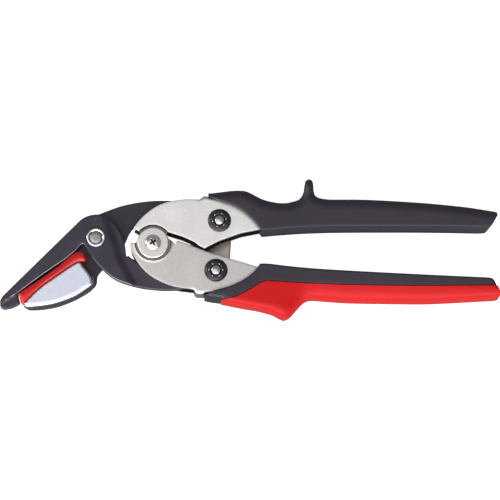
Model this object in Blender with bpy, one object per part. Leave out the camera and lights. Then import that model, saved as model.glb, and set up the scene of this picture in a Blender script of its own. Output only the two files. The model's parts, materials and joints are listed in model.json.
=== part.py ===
"""Compound-leverage strap cutter with aviation-snip handles, closed and lying flat.

Lengths are in millimetres and are turned into metres once, in `add_mesh` and `add_wire`.
The origin is on the handle pivot, on the plane that the tool lies on. +X runs along the tool
to the grips, +Y to the upper handle and +Z up, out of the front face. Every height below is
measured from the shear plane, where the two blades meet, and `MID` lifts it into place.
"""
import math

import bmesh
import bpy
from mathutils import Matrix, Vector

MM = 0.001
MID = 10.0                       # height of the shear plane above the rest plane

# Pivot centres of the four-bar linkage, seen from the front.
HANDLE_PIVOT = (0.0, 0.0)
UPPER_LINK = (32.2, 13.6)
LOWER_LINK = (32.2, -11.6)
BLADE_PIVOT = (-28.6, 0.8)

# Layers, as half thicknesses on both sides of the shear plane.
GAP = 0.3                        # between pieces that touch
SHEAR_GAP = 0.15                 # half of the gap between the blades
BLADE_ARM = 4.4                  # outer face of the blades' arms
BLADE_FACE = 6.0                 # outer face of the raised jaws and bosses
HOOK_TOP = 4.0                   # front face of the beak's hook
EAR_IN, EAR_OUT = 2.4, 4.4       # pivot ears of the upper handle's frame
PLATE_IN, PLATE_OUT = 4.7, 6.7   # walls of both channel frames
GRIP_HALF = 10.0
GRIP_EDGE = 1.2                  # chamfer around the grips

# Pins and their fittings.
BOLT_R = 3.0
BOLT_HEAD_R = 7.0
WASHER_R = 7.9
RECESS_R = 8.7
RECESS_DEPTH = 0.8
SLEEVE_R = 4.6
SCREW_HEAD_R = 3.9
SCREW_SHANK_R = 1.7
LINK_PIN_R = 2.5
LINK_HEAD_R = 4.2
LINK_BUSH_R = 3.4
STAR_LOCK_R = 5.7
EYE_R = 6.0                      # blade tails around the link pins
EYE_SLACK = 0.35                 # extra radial play of the knife's tail on its pin
BOSS_R = 11.9                    # blade bosses around their pivot
BLADE_PIN_R = 3.0
COLLAR_R = 4.6

# Hold-down on the front of the knife.
PAD_TOP = 6.3
SHOE_TOP = 5.9
SHOE_FOOT = 2.0                  # underside of the shoe over the pad's tongue
RIVET_R = 1.5
RIVET_HEAD_R = 2.8
RIVETS = [(-50.0, -29.6), (-34.8, -21.6)]

# Latch behind the frames.
LATCH_FRONT, LATCH_BACK = -7.0, -8.2
LATCH_HUB_R = 5.5
LATCH_SWING = 20.0               # degrees from released to hooked
LATCH_PLAY = 0.4

SPRING_WIRE = 1.0
SPRING_R = 4.6
SPRING_TURNS = 2.5

ARC_STEP = 12.0                  # degrees between points on an arc


# ---------------------------------------------------------------- plane geometry

def arc(centre, radius, start, end, step=ARC_STEP):
    """Points on an arc from start to end, in degrees; end below start runs clockwise."""
    count = max(2, round(abs(end - start) / step) + 1)
    points = []
    for i in range(count):
        angle = math.radians(start + (end - start) * i / (count - 1))
        points.append((centre[0] + radius * math.cos(angle), centre[1] + radius * math.sin(angle)))
    return points


def circle(centre, radius, count=32):
    return arc(centre, radius, 0.0, 360.0 * (count - 1) / count, 360.0 / count)


def polar(centre, radius, degrees):
    angle = math.radians(degrees)
    return (centre[0] + radius * math.cos(angle), centre[1] + radius * math.sin(angle))


def spline(points, pieces=3):
    """A smooth open curve through the points (Catmull-Rom), ends included."""
    knots = [points[0]] + list(points) + [points[-1]]
    result = []
    for i in range(1, len(knots) - 2):
        p0, p1, p2, p3 = (Vector(knots[i + k]) for k in (-1, 0, 1, 2))
        for j in range(pieces):
            t = j / pieces
            point = 0.5 * (2 * p1 + (p2 - p0) * t + (2 * p0 - 5 * p1 + 4 * p2 - p3) * t ** 2
                           + (3 * p1 - p0 - 3 * p2 + p3) * t ** 3)
            result.append((point.x, point.y))
    result.append(tuple(points[-1]))
    return result


def rounded(corners, step=30.0):
    """A closed outline from (x, y, radius) corners, each turned into an arc."""
    outline = []
    count = len(corners)
    for i, (x, y, radius) in enumerate(corners):
        here = Vector((x, y))
        before = Vector(corners[i - 1][:2]) - here
        after = Vector(corners[(i + 1) % count][:2]) - here
        turn = before.angle(after)
        if radius <= 0.0 or turn > math.radians(176.0):
            outline.append((x, y))
            continue
        reach = radius / math.tan(turn / 2)
        reach = min(reach, 0.48 * before.length, 0.48 * after.length)
        radius = reach * math.tan(turn / 2)
        middle = (before.normalized() + after.normalized()).normalized()
        centre = here + middle * (radius / math.sin(turn / 2))
        first = here + before.normalized() * reach - centre
        sweep = (math.pi - turn) * (1 if before.cross(after) < 0 else -1)
        steps = max(2, math.ceil(math.degrees(abs(sweep)) / step))
        for j in range(steps + 1):
            spoke = Matrix.Rotation(sweep * j / steps, 2) @ first
            outline.append(tuple(centre + spoke))
    return outline


def clean(outline, least=0.05):
    """The outline without repeated points."""
    kept = []
    for point in outline:
        if not kept or math.dist(point, kept[-1]) > least:
            kept.append(point)
    if math.dist(kept[0], kept[-1]) <= least:
        kept.pop()
    return kept


def signed_area(outline):
    pairs = zip(outline, outline[1:] + outline[:1])
    return 0.5 * sum(a[0] * b[1] - b[0] * a[1] for a, b in pairs)


def offset(outline, distance, sharpest=0.5):
    """The outline moved outward by distance (inward when negative).

    A corner moves at most distance / sharpest.
    """
    outline = clean(outline)
    side = 1 if signed_area(outline) > 0 else -1
    moved = []
    for i, point in enumerate(outline):
        into = (Vector(point) - Vector(outline[i - 1])).normalized()
        out = (Vector(outline[(i + 1) % len(outline)]) - Vector(point)).normalized()
        normal = Vector((into.y + out.y, -into.x - out.x)) * side
        normal.normalize()
        stretch = max(sharpest, normal.dot(Vector((into.y, -into.x)) * side))
        shifted = Vector(point) + normal * (distance / stretch)
        moved.append((shifted.x, shifted.y))
    return moved


# ---------------------------------------------------------------- solids

def clear_scene():
    for thing in list(bpy.data.objects):
        bpy.data.objects.remove(thing, do_unlink=True)


def make_material(name, colour, roughness, metallic):
    material = bpy.data.materials.new(name)
    material.use_nodes = True
    shader = material.node_tree.nodes["Principled BSDF"]
    shader.inputs["Base Color"].default_value = (*colour, 1.0)
    shader.inputs["Roughness"].default_value = roughness
    shader.inputs["Metallic"].default_value = metallic
    return material


def make_axis(name, centre, parent=None):
    """An empty on a joint's axis, at the height of the shear plane."""
    axis = bpy.data.objects.new(name, None)
    axis.empty_display_size = 0.01
    spot = Vector((centre[0], centre[1], MID)) * MM
    axis["spot"] = tuple(spot)
    if parent is not None:
        axis.parent = parent
        spot = spot - Vector(parent["spot"])
    axis.location = spot
    bpy.context.collection.objects.link(axis)
    return axis


def hang(thing, axis, material):
    """Put an object's geometry on the axis of the body that carries it."""
    thing.data.transform(Matrix.Translation(-Vector(axis["spot"])))
    thing.parent = axis
    thing.data.materials.append(material)
    bpy.context.collection.objects.link(thing)


def add_mesh(name, bm, axis, material, smooth_angle=None):
    bmesh.ops.recalc_face_normals(bm, faces=bm.faces)
    bmesh.ops.transform(bm, matrix=Matrix.Scale(MM, 4) @ Matrix.Translation((0, 0, MID)), verts=bm.verts)
    mesh = bpy.data.meshes.new(name)
    bm.to_mesh(mesh)
    bm.free()
    thing = bpy.data.objects.new(name, mesh)
    hang(thing, axis, material)
    if smooth_angle is not None:
        mesh.shade_smooth()
        mesh.set_sharp_from_angle(angle=math.radians(smooth_angle))
    return thing


def fill_prism(bm, loops, low, high):
    """Add a prism between two heights to bm; the first loop is its rim, the others its holes."""
    edges = []
    for loop in loops:
        points = clean(loop)
        verts = [bm.verts.new((x, y, low)) for x, y in points]
        edges += [bm.edges.new((verts[i - 1], verts[i])) for i in range(len(verts))]
    filled = bmesh.ops.triangle_fill(bm, use_beauty=True, use_dissolve=False, edges=edges)
    faces = [item for item in filled["geom"] if isinstance(item, bmesh.types.BMFace)]
    raised = bmesh.ops.extrude_face_region(bm, geom=faces, use_keep_orig=True)["geom"]
    verts = [item for item in raised if isinstance(item, bmesh.types.BMVert)]
    bmesh.ops.translate(bm, vec=(0, 0, high - low), verts=verts)


def prism(name, loops, low, high, axis, material):
    bm = bmesh.new()
    fill_prism(bm, loops, low, high)
    return add_mesh(name, bm, axis, material)


def chamfered_prism(name, outline, low, high, edge, axis, material):
    """A prism whose rims are chamfered by `edge` at both faces."""
    bm = bmesh.new()
    outline = clean(outline)
    levels = [(-edge, low), (0.0, low + edge), (0.0, high - edge), (-edge, high)]
    rings = []
    for shift, height in levels:
        shape = offset(outline, shift, 0.2) if shift else outline
        rings.append([bm.verts.new((x, y, height)) for x, y in shape])
    for lower, upper in zip(rings, rings[1:]):
        for i in range(len(lower)):
            bm.faces.new((lower[i - 1], lower[i], upper[i], upper[i - 1]))
    for ring in (rings[0], rings[-1]):
        edges = [bm.edges.get((ring[i - 1], ring[i])) for i in range(len(ring))]
        bmesh.ops.triangle_fill(bm, use_beauty=True, use_dissolve=False, edges=edges)
    return add_mesh(name, bm, axis, material)


def turned(name, profile, centre, axis, material, sides=32):
    """A solid of revolution about a vertical line, from a closed (radius, height) profile."""
    bm = bmesh.new()
    rings = []
    for radius, height in profile:
        if radius == 0.0:
            rings.append([bm.verts.new((centre[0], centre[1], height))] * sides)
        else:
            rings.append([bm.verts.new((x, y, height)) for x, y in circle(centre, radius, sides)])
    for i, ring in enumerate(rings):
        below = rings[i - 1]
        for j in range(sides):
            corners = (below[j - 1], below[j], ring[j], ring[j - 1])
            distinct = list(dict.fromkeys(corners))
            if len(distinct) > 2:
                bm.faces.new(distinct)
    return add_mesh(name, bm, axis, material, smooth_angle=35.0)


def add_wire(name, points, wire, axis, material):
    """A round wire through the points."""
    curve = bpy.data.curves.new(name, "CURVE")
    curve.dimensions = "3D"
    curve.bevel_depth = wire / 2 * MM
    curve.bevel_resolution = 1
    curve.use_fill_caps = True
    line = curve.splines.new("POLY")
    line.points.add(len(points) - 1)
    for knot, (x, y, z) in zip(line.points, points):
        knot.co = (x * MM, y * MM, (z + MID) * MM, 1.0)
    thing = bpy.data.objects.new(name, curve)
    hang(thing, axis, material)
    return thing


def boolean(thing, operation, tool):
    modifier = thing.modifiers.new(f"{operation.lower()}_{tool.name}", "BOOLEAN")
    modifier.operation = operation
    modifier.solver = "EXACT"
    modifier.object = tool
    tool.hide_render = True
    tool.display_type = "WIRE"


# ---------------------------------------------------------------- outlines of the frames

def upper_frame_outline():
    """Walls of the upper frame: a shoulder over the hub, a stop corner and a tang."""
    back = spline([(-10.2, 6.9), (-5.9, 13.1), (2.3, 19.8), (12.8, 22.9), (21.5, 23.6)])
    tang = rounded([(21.5, 23.6, 0), (23.3, 25.7, 0.8), (44.0, 25.3, 4), (57.0, 21.8, 4), (86.0, 22.6, 1),
                    (86.0, 17.6, 1), (57.0, 15.0, 3), (52.9, 10.6, 0.8), (43.3, 8.0, 0), (32.8, 3.4, 0),
                    (25.7, -1.0, 0.5), (22.8, 0.2, 0.8), (20.9, 1.8, 0), (14.3, 4.3, 0)])
    hub = arc(HANDLE_PIVOT, 9.3, 40.0, 144.0)
    return back[:-1] + tang + hub


def lower_frame_outline():
    """Walls of the lower frame: a hub under the washer, a claw that stops the opening, a tang."""
    claw_in = polar(HANDLE_PIVOT, 9.1, 184.5)
    claw_out = polar(HANDLE_PIVOT, 11.5, 187.0)
    claw = rounded([(*polar(HANDLE_PIVOT, 7.4, 186.0), 0), (*claw_in, 0.3),
                    (*polar(HANDLE_PIVOT, 10.4, 183.5), 0.5), (*claw_out, 0.5),
                    (*polar(HANDLE_PIVOT, 11.5, 205.0), 0)])[:-1]
    belly = spline([polar(HANDLE_PIVOT, 11.5, 205.0), (-6.4, -11.0), (-0.7, -16.2), (6.1, -19.5),
                    (12.7, -21.3), (21.5, -21.9)])
    tang = rounded([(21.5, -21.9, 0), (22.9, -24.4, 0.6), (26.0, -24.4, 0.6), (28.0, -23.9, 0),
                    (40.0, -23.9, 4), (57.0, -18.8, 4), (86.0, -18.6, 1), (86.0, -12.6, 1), (57.0, -11.4, 2),
                    (52.8, -8.4, 0.8), (27.8, -2.8, 0), (10.0, 2.9, 1.5)])
    hub = arc(HANDLE_PIVOT, 7.4, 32.0, 186.0)
    return claw[1:] + belly[:-1] + tang + hub[:-1]


def channel_cutter(side):
    """Space between the walls, all but the web along the outer edge. side is +1 or -1."""
    if side > 0:
        web = [(90.0, 20.6), (57.6, 19.8), (44.0, 23.3), (22.5, 23.3)]
    else:
        web = [(90.0, -16.6), (57.6, -16.8), (40.0, -21.9), (22.5, -21.9)]
    return [(-15.0, -8.0 * side), (90.0, -8.0 * side)] + web + [(22.5, 40.0 * side), (-15.0, 40.0 * side)]


# ---------------------------------------------------------------- pieces

def make_frame(name, outline, side, holes, axis, material):
    """A channel frame: two walls joined by a web, with round holes through both walls."""
    frame = prism(name, [outline] + holes, -PLATE_OUT, PLATE_OUT, axis, material)
    cutter = prism(f"{name}_inside", [channel_cutter(side)], -PLATE_IN, PLATE_IN, axis, material)
    boolean(frame, "DIFFERENCE", cutter)
    return frame


def make_upper_frame(axis, material):
    holes = [circle(UPPER_LINK, LINK_PIN_R + GAP, 24)]
    frame = make_frame("upper_handle_frame", upper_frame_outline(), 1, holes, axis, material)
    neck = arc(HANDLE_PIVOT, 7.2, 145.0, 395.0) + arc(HANDLE_PIVOT, 11.8, 48.0, 138.0)
    shoulder = arc(HANDLE_PIVOT, 9.6, 132.0, 54.0) + arc(HANDLE_PIVOT, 11.8, 54.0, 132.0)
    bore = circle(HANDLE_PIVOT, SLEEVE_R + GAP, 24)
    overlap = 0.5
    for label, sign in (("front", 1), ("rear", -1)):
        low, high = sorted((sign * EAR_IN, sign * EAR_OUT))
        ear = prism(f"upper_ear_{label}", [neck, bore], low, high, axis, material)
        low, high = sorted((sign * (EAR_OUT - overlap), sign * (PLATE_IN + overlap)))
        step = prism(f"upper_ear_step_{label}", [shoulder], low, high, axis, material)
        boolean(frame, "UNION", step)
        boolean(frame, "UNION", ear)
    return frame


def make_lower_frame(axis, material):
    holes = [circle(HANDLE_PIVOT, BOLT_R + GAP, 24), circle(LOWER_LINK, LINK_PIN_R + GAP, 24)]
    frame = make_frame("lower_handle_frame", lower_frame_outline(), -1, holes, axis, material)
    recess = prism("lower_frame_recess", [circle(HANDLE_PIVOT, RECESS_R, 48)],
                   PLATE_OUT - RECESS_DEPTH, PLATE_OUT + 1.0, axis, material)
    boolean(frame, "DIFFERENCE", recess)
    return frame


def tang_pocket(name, outline, axis, material):
    """The room that a grip leaves around its frame."""
    return prism(name, [offset(outline, GAP)], -PLATE_OUT - GAP, PLATE_OUT + GAP, axis, material)


def make_upper_grip(axis, material):
    """One moulding with a thumb horn, from the frame's shoulder to the handle's end."""
    shoulder = spline([(25.7, 26.9), (29.5, 27.6), (32.5, 28.2), (36.0, 28.9), (40.5, 29.5), (44.5, 29.4),
                       (47.5, 28.3), (50.6, 26.8), (54.0, 25.6), (58.5, 24.8), (63.0, 24.6), (66.4, 25.2),
                       (71.1, 27.1), (73.0, 30.2), (73.4, 33.0), (73.4, 35.3), (74.0, 37.0), (75.4, 37.8),
                       (76.9, 37.2), (77.7, 35.4), (77.9, 33.0), (78.5, 30.2), (80.4, 28.7), (83.6, 28.2),
                       (88.0, 28.2), (105.0, 29.3), (134.3, 29.6), (155.8, 28.9)])
    end = rounded([(155.8, 28.9, 0), (170.2, 27.6, 1.8), (170.6, 25.6, 1.5), (166.2, 19.1, 2.5),
                   (161.9, 18.7, 0)])
    belly = spline([(161.9, 18.7), (145.9, 17.9), (124.6, 16.6), (92.7, 14.3), (75.3, 12.6), (62.9, 10.9),
                    (54.0, 9.5)])
    mouth = spline([(53.6, 9.7), (49.4, 14.3), (44.0, 18.6), (38.1, 21.5), (32.1, 23.1), (26.2, 25.2)])
    outline = shoulder + end[1:-1] + belly + mouth
    grip = chamfered_prism("upper_grip", outline, -GRIP_HALF, GRIP_HALF, GRIP_EDGE, axis, material)
    pocket = tang_pocket("upper_grip_pocket", upper_frame_outline(), axis, material)
    boolean(grip, "DIFFERENCE", pocket)
    return grip


LOWER_MOUTH = [(53.8, -7.2), (50.7, -12.1), (44.7, -16.8), (39.1, -19.7), (32.6, -21.9)]
LOWER_TIP = (36.0, -26.3)        # front end of the cover
LOWER_SEAM = [(42.3, -24.7), (49.8, -20.1), (55.2, -16.2), (60.0, -15.3), (78.9, -15.2), (100.4, -14.5),
              (131.0, -12.8), (163.5, -10.3), (171.7, -9.6)]


def make_lower_grip(axis, core_material, cover_material):
    """A black core along the finger side and a red cover, with a finger guard, outside it."""
    seam = [LOWER_TIP] + spline(LOWER_SEAM)
    top = spline([LOWER_SEAM[-1], (170.8, -8.0), (169.5, -6.6), (167.2, -6.3), (159.5, -6.5), (130.7, -7.1),
                  (92.3, -7.7), (72.7, -7.6), (58.0, -6.9), LOWER_MOUTH[0]])
    front = spline([LOWER_MOUTH[-1], (29.3, -23.9), (27.2, -25.1), (29.6, -25.8), (32.8, -26.1), LOWER_TIP])
    core = chamfered_prism("lower_grip_core", seam[:-1] + top[:-1] + spline(LOWER_MOUTH)[:-1] + front[:-1],
                           -GRIP_HALF, GRIP_HALF, GRIP_EDGE, axis, core_material)
    shifted_seam = [(x, y) for x, y in offset(seam + [(172.0, 40.0), (36.0, 40.0)], GAP)[:len(seam)]]
    guard = spline([shifted_seam[-1], (173.1, -11.4), (174.2, -14.1), (172.4, -15.4), (168.0, -16.0),
                    (161.9, -16.8), (145.0, -19.0), (131.6, -20.3), (101.0, -22.0), (90.1, -22.1), (80.2, -22.1),
                    (76.8, -23.6), (73.5, -27.5), (70.1, -31.8), (67.2, -33.0), (64.0, -31.7),
                    (60.6, -30.2), (54.0, -28.9), (48.5, -28.4), (45.4, -28.0)])
    cover = chamfered_prism("lower_grip_cover", guard + shifted_seam[:-1], -GRIP_HALF, GRIP_HALF,
                            GRIP_EDGE, axis, cover_material)
    for grip in (core, cover):
        pocket = tang_pocket(f"{grip.name}_pocket", lower_frame_outline(), axis, core_material)
        boolean(grip, "DIFFERENCE", pocket)
    return core, cover


def make_beak_blade(axis, material):
    """Upper jaw, boss and lower arm. The jaw's front is raised and its tip hooks under the strap."""
    boss = arc(BLADE_PIVOT, BOSS_R, 38.0, 144.0)
    back = [(-72.7, -31.9), (-73.9, -35.0)]
    edge = [(-66.2, -30.4), (-60.0, -25.0), (-53.5, -19.4), (-47.5, -14.6), (-43.0, -11.0), (-38.9, -7.1),
            (-36.2, -3.6), (-35.3, -2.6), (-34.2, -3.0), (-32.6, -5.1), (-29.5, -9.6), (-25.0, -13.9)]
    belly = spline([(-25.0, -13.9), (-20.7, -17.3), (-15.7, -20.0), (-7.4, -22.1), (0.8, -22.9), (9.5, -22.8),
                    (17.5, -21.2), (26.0, -17.0)])
    eye = arc(LOWER_LINK, EYE_R, 245.0, 475.0)
    inner = spline([(18.0, -8.6), (8.0, -12.4), (0.0, -12.8), (-5.4, -10.6), (-9.0, -8.5)])
    inner += [(-10.7, -7.8), (-11.7, -6.9), (-12.9, -7.2)]
    inner += spline([(-13.4, -4.6), (-14.0, -1.5), (-15.4, 2.8), (-18.2, 7.0)])
    arm_outline = boss + back + [(-70.5, -33.5)] + edge[:-1] + belly + eye + inner
    arm = prism("beak_blade", [arm_outline, circle(LOWER_LINK, LINK_BUSH_R + GAP, 24),
                               circle(BLADE_PIVOT, BLADE_PIN_R + GAP, 24)],
                SHEAR_GAP, BLADE_ARM, axis, material)
    raised_edge = spline([(-25.5, -13.4), (-18.4, -17.7), (-12.4, -19.8), (-6.8, -20.9)])
    shoulder = spline([(-6.8, -20.0), (-9.0, -16.4), (-13.1, -9.6), (-16.0, -3.3), (-18.6, 3.6),
                       (-20.8, 8.0)])
    face_outline = boss + back + [(-70.5, -33.5)] + edge[:-1] + raised_edge + shoulder
    face = prism("beak_face", [face_outline, circle(BLADE_PIVOT, BLADE_PIN_R + GAP, 24)],
                 BLADE_ARM - 1.0, BLADE_FACE, axis, material)
    boolean(arm, "UNION", face)
    hook = rounded([(-71.6, -31.4, 0), (-73.9, -35.0, 1), (-73.5, -36.7, 1), (-71.2, -37.4, 1),
                    (-66.0, -34.2, 1), (-66.5, -30.6, 0.6), (-68.6, -30.4, 0)])
    boolean(arm, "UNION", prism("beak_hook", [hook], -BLADE_ARM, HOOK_TOP - GAP, axis, material))
    lobe = rounded([(-71.6, -31.4, 0), (-73.9, -34.8, 1), (-73.3, -37.0, 1.2), (-70.8, -37.7, 1.5),
                    (-68.0, -37.1, 1.5), (-64.6, -35.2, 0.8), (-63.75, -34.3, 0.4), (-65.1, -29.8, 0.3),
                    (-68.6, -29.8, 0)])
    boolean(arm, "UNION", prism("beak_hook_front", [lobe], SHEAR_GAP, HOOK_TOP, axis, material))
    return arm


def make_knife_blade(axis, material):
    """Lower jaw, boss and upper arm, behind the shear plane. Its edge passes behind the beak."""
    edge = [(-39.2, -3.0), (-40.2, -6.2), (-46.6, -12.4), (-56.0, -20.3), (-65.0, -27.1)]
    end = [(-65.3, -29.5), (-62.0, -35.2)]
    belly = [(-59.6, -36.4), (-53.9, -35.9), (-45.1, -33.7), (-36.5, -29.5), (-30.3, -25.2), (-27.0, -21.7),
             (-26.8, -17.0), (-24.1, -13.4), (-19.6, -8.6)]
    rim = spline(belly + [(-16.2, -3.4), (-13.9, 1.4), (-12.6, 5.2), (-10.0, 9.0), (-4.5, 12.6),
                          (3.5, 13.6), (14.0, 11.8), (24.5, 8.9)])
    eye = arc(UPPER_LINK, EYE_R, 235.0, 460.0)
    top = spline([(24.0, 20.6), (14.0, 22.8), (5.4, 23.1), (-5.2, 22.0), (-16.6, 19.1), (-24.5, 15.7)])
    boss = arc(BLADE_PIVOT, BOSS_R, 105.0, 190.0)
    outline = rim + eye + top + boss + edge + end
    blade = prism("knife_blade", [outline, circle(UPPER_LINK, LINK_BUSH_R + EYE_SLACK + GAP, 24),
                                  circle(BLADE_PIVOT, BLADE_PIN_R + GAP, 24)],
                  -BLADE_ARM, -SHEAR_GAP, axis, material)
    raised_rim = spline(belly + [(-17.6, -3.4), (-17.8, 4.0), (-21.0, 10.4)])
    raised = raised_rim + arc(BLADE_PIVOT, BOSS_R, 52.0, 190.0) + edge + end
    face = prism("knife_face", [raised, circle(BLADE_PIVOT, BLADE_PIN_R + GAP, 24)],
                 -BLADE_FACE, -BLADE_ARM + 1.0, axis, material)
    boolean(blade, "UNION", face)
    rivet_holes = bmesh.new()
    for spot in RIVETS:
        fill_prism(rivet_holes, [circle(spot, RIVET_R + GAP, 16)], -BLADE_FACE - 1.0, SHEAR_GAP)
    boolean(blade, "DIFFERENCE", add_mesh("knife_rivet_holes", rivet_holes, axis, material))
    return blade


SHOE_EDGE = [(-61.6, -35.0), (-57.3, -29.6), (-52.7, -24.9), (-47.9, -21.0), (-43.2, -17.1), (-38.4, -13.4),
             (-36.0, -12.0)]


def make_hold_down(axis, pad_material, shoe_material, rivet_material):
    """A rubber pad along the cut and a steel shoe that clamps its tongue to the knife."""
    shoe_edge = spline(SHOE_EDGE)
    belly = spline([(-34.2, -12.9), (-30.4, -16.6), (-28.1, -19.8), (-28.3, -22.4), (-31.0, -24.7),
                    (-37.1, -29.2), (-47.4, -33.7), (-58.0, -35.9), (-60.9, -35.9)])
    pad_top = spline([(-64.8, -29.6), (-60.0, -26.1), (-54.8, -22.2), (-46.0, -14.7), (-40.9, -9.5),
                      (-38.2, -7.4), (-35.5, -6.7), (-33.9, -7.9), (-32.6, -10.2)])
    pad_strip = pad_top + [(-33.3, -11.4)] + offset_line(shoe_edge, GAP)[::-1] + [(-63.3, -34.2)]
    pad = prism("hold_down_pad", [pad_strip], SHEAR_GAP, PAD_TOP, axis, pad_material)
    depth = 2.6
    bite = GAP + 0.4
    tongue = offset_line(shoe_edge, bite)[2:-2] + offset_line(shoe_edge, -depth)[::-1][2:-2]
    pad_tongue = prism("pad_tongue", [tongue], SHEAR_GAP, SHOE_FOOT - GAP, axis, pad_material)
    boolean(pad, "UNION", pad_tongue)
    foot_room = prism("shoe_room", [offset(tongue, GAP)], SHEAR_GAP - 1.0, SHOE_FOOT, axis, pad_material)
    shoe = prism("hold_down_shoe", [shoe_edge + belly], SHEAR_GAP, SHOE_TOP, axis, shoe_material)
    boolean(shoe, "DIFFERENCE", foot_room)
    rivet_end = SHOE_TOP - 2.0
    socket_end = rivet_end + 0.4
    sockets = bmesh.new()
    for spot in RIVETS:
        fill_prism(sockets, [circle(spot, RIVET_R + GAP, 16)], SHEAR_GAP - 1.0, socket_end)
    boolean(shoe, "DIFFERENCE", add_mesh("shoe_sockets", sockets, axis, shoe_material))
    head = -BLADE_FACE - GAP
    profile = [(0.0, rivet_end), (RIVET_R, rivet_end), (RIVET_R, head), (RIVET_HEAD_R, head),
               (RIVET_HEAD_R * 0.8, head - 1.0), (0.0, head - 1.3)]
    for number, spot in enumerate(RIVETS, 1):
        turned(f"shoe_rivet_{number}", profile, spot, axis, rivet_material, sides=16)


def offset_line(points, distance):
    """An open line moved to its left by distance."""
    moved = []
    last = len(points) - 1
    for i, point in enumerate(points):
        along = Vector(points[min(i + 1, last)]) - Vector(points[max(i - 1, 0)])
        along.normalize()
        moved.append((point[0] - along.y * distance, point[1] + along.x * distance))
    return moved


def dome(radius, low, high, steps=4):
    """Profile points of a domed end, from its rim to its crown."""
    points = []
    for i in range(steps + 1):
        angle = math.pi / 2 * i / steps
        points.append((radius * math.cos(angle) if i < steps else 0.0, low + (high - low) * math.sin(angle)))
    return points


def make_handle_pivot(axis, steel, bright):
    """Bolt from the back, sleeve between the walls, washer and domed screw on the front."""
    bore = SCREW_SHANK_R + GAP
    head = -PLATE_OUT - GAP
    top = PLATE_OUT + 0.6
    thread_end = -3.0
    profile = [(bore, top), (BOLT_R, top), (BOLT_R, head), (BOLT_HEAD_R, head), (BOLT_HEAD_R, -MID + 0.6),
               (BOLT_HEAD_R - 0.6, -MID), (0.0, -MID), (0.0, thread_end), (bore, thread_end)]
    turned("handle_pivot_bolt", profile, HANDLE_PIVOT, axis, steel)
    turned("handle_pivot_sleeve", [(BOLT_R + GAP, BLADE_ARM), (SLEEVE_R, BLADE_ARM), (SLEEVE_R, -BLADE_ARM),
                                   (BOLT_R + GAP, -BLADE_ARM)], HANDLE_PIVOT, axis, steel, sides=24)
    seat = PLATE_OUT - RECESS_DEPTH + GAP
    crown = 7.6
    profile = [(BOLT_R + GAP, crown), (WASHER_R - 0.5, crown), (WASHER_R, crown - 0.5), (WASHER_R, seat),
               (BOLT_R + GAP, seat)]
    turned("handle_pivot_washer", profile, HANDLE_PIVOT, axis, steel, sides=48)
    under = crown + GAP
    profile = [(0.0, -1.5), (SCREW_SHANK_R, -1.5), (SCREW_SHANK_R, under)]
    profile += dome(SCREW_HEAD_R, under + 0.3, 9.5)
    profile.insert(3, (SCREW_HEAD_R, under))
    screw = turned("handle_pivot_screw", profile[::-1], HANDLE_PIVOT, axis, bright)
    slot = 0.45
    reach = 1.9
    cross = [(reach, -slot), (reach, slot), (slot, slot), (slot, reach), (-slot, reach), (-slot, slot),
             (-reach, slot), (-reach, -slot), (-slot, -slot), (-slot, -reach), (slot, -reach), (slot, -slot)]
    boolean(screw, "DIFFERENCE", prism("screw_cross_recess", [cross], 8.5, 11.0, axis, bright))


def make_link_pin(prefix, centre, first_slot, axis, steel, cap_material):
    """A headed pin from the back, a bush between the walls and a slotted push-on cap."""
    head_front = LATCH_BACK - GAP
    head_back = head_front - 1.2
    profile = dome(LINK_PIN_R, 8.0, 8.9, 3)[::-1]
    profile += [(LINK_PIN_R, head_front), (LINK_HEAD_R, head_front), (LINK_HEAD_R, head_back + 0.4),
                (LINK_HEAD_R - 0.4, head_back), (0.0, head_back)]
    turned(f"{prefix}_link_pin", profile, centre, axis, steel, sides=24)
    turned(f"{prefix}_link_bush", [(LINK_PIN_R + GAP, BLADE_ARM), (LINK_BUSH_R, BLADE_ARM),
                                   (LINK_BUSH_R, -BLADE_ARM), (LINK_PIN_R + GAP, -BLADE_ARM)],
           centre, axis, steel, sides=24)
    base = PLATE_OUT + GAP
    bore = LINK_PIN_R + GAP
    cap = turned(f"{prefix}_star_lock", [(bore, 8.3), (3.9, 8.2), (5.0, 7.8), (STAR_LOCK_R, base),
                                         (bore, base)], centre, axis, cap_material, sides=48)
    slots = bmesh.new()
    width = 0.35
    near, far = 2.0, 4.0
    count = 6
    for i in range(count):
        turn = first_slot + 360.0 / count * i
        slot = [polar(centre, math.hypot(r, w), turn + math.degrees(math.atan2(w, r)))
                for r, w in ((near, -width), (far, -width), (far, width), (near, width))]
        fill_prism(slots, [slot], base - 0.5, 9.0)
    boolean(cap, "DIFFERENCE", add_mesh(f"{prefix}_cap_slots", slots, axis, cap_material))


def make_opening_spring(name, centre, side, axis, material):
    """A torsion spring around a link pin, in the half of the channel that the blade leaves free."""
    height = side * (SHEAR_GAP + SPRING_WIRE / 2 + 0.25)
    rise = side * (SPRING_WIRE + 0.12)
    legs_at = 180.0
    start = legs_at + 90.0 * side
    steps = 16
    count = round(SPRING_TURNS * steps)
    coil = []
    for i in range(count + 1):
        turn = start + side * 360.0 * i / steps
        x, y = polar(centre, SPRING_R, turn)
        coil.append((x, y, height + rise * i / steps))
    first, last = coil[0], coil[-1]
    leg = 9.0
    inward = [(first[0] - leg, first[1] + 1.0 * side, first[2])]
    outward = [(last[0] - leg, last[1] - 0.4 * side, last[2])]
    return add_wire(name, inward + coil + outward, SPRING_WIRE, axis, material)


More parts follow.
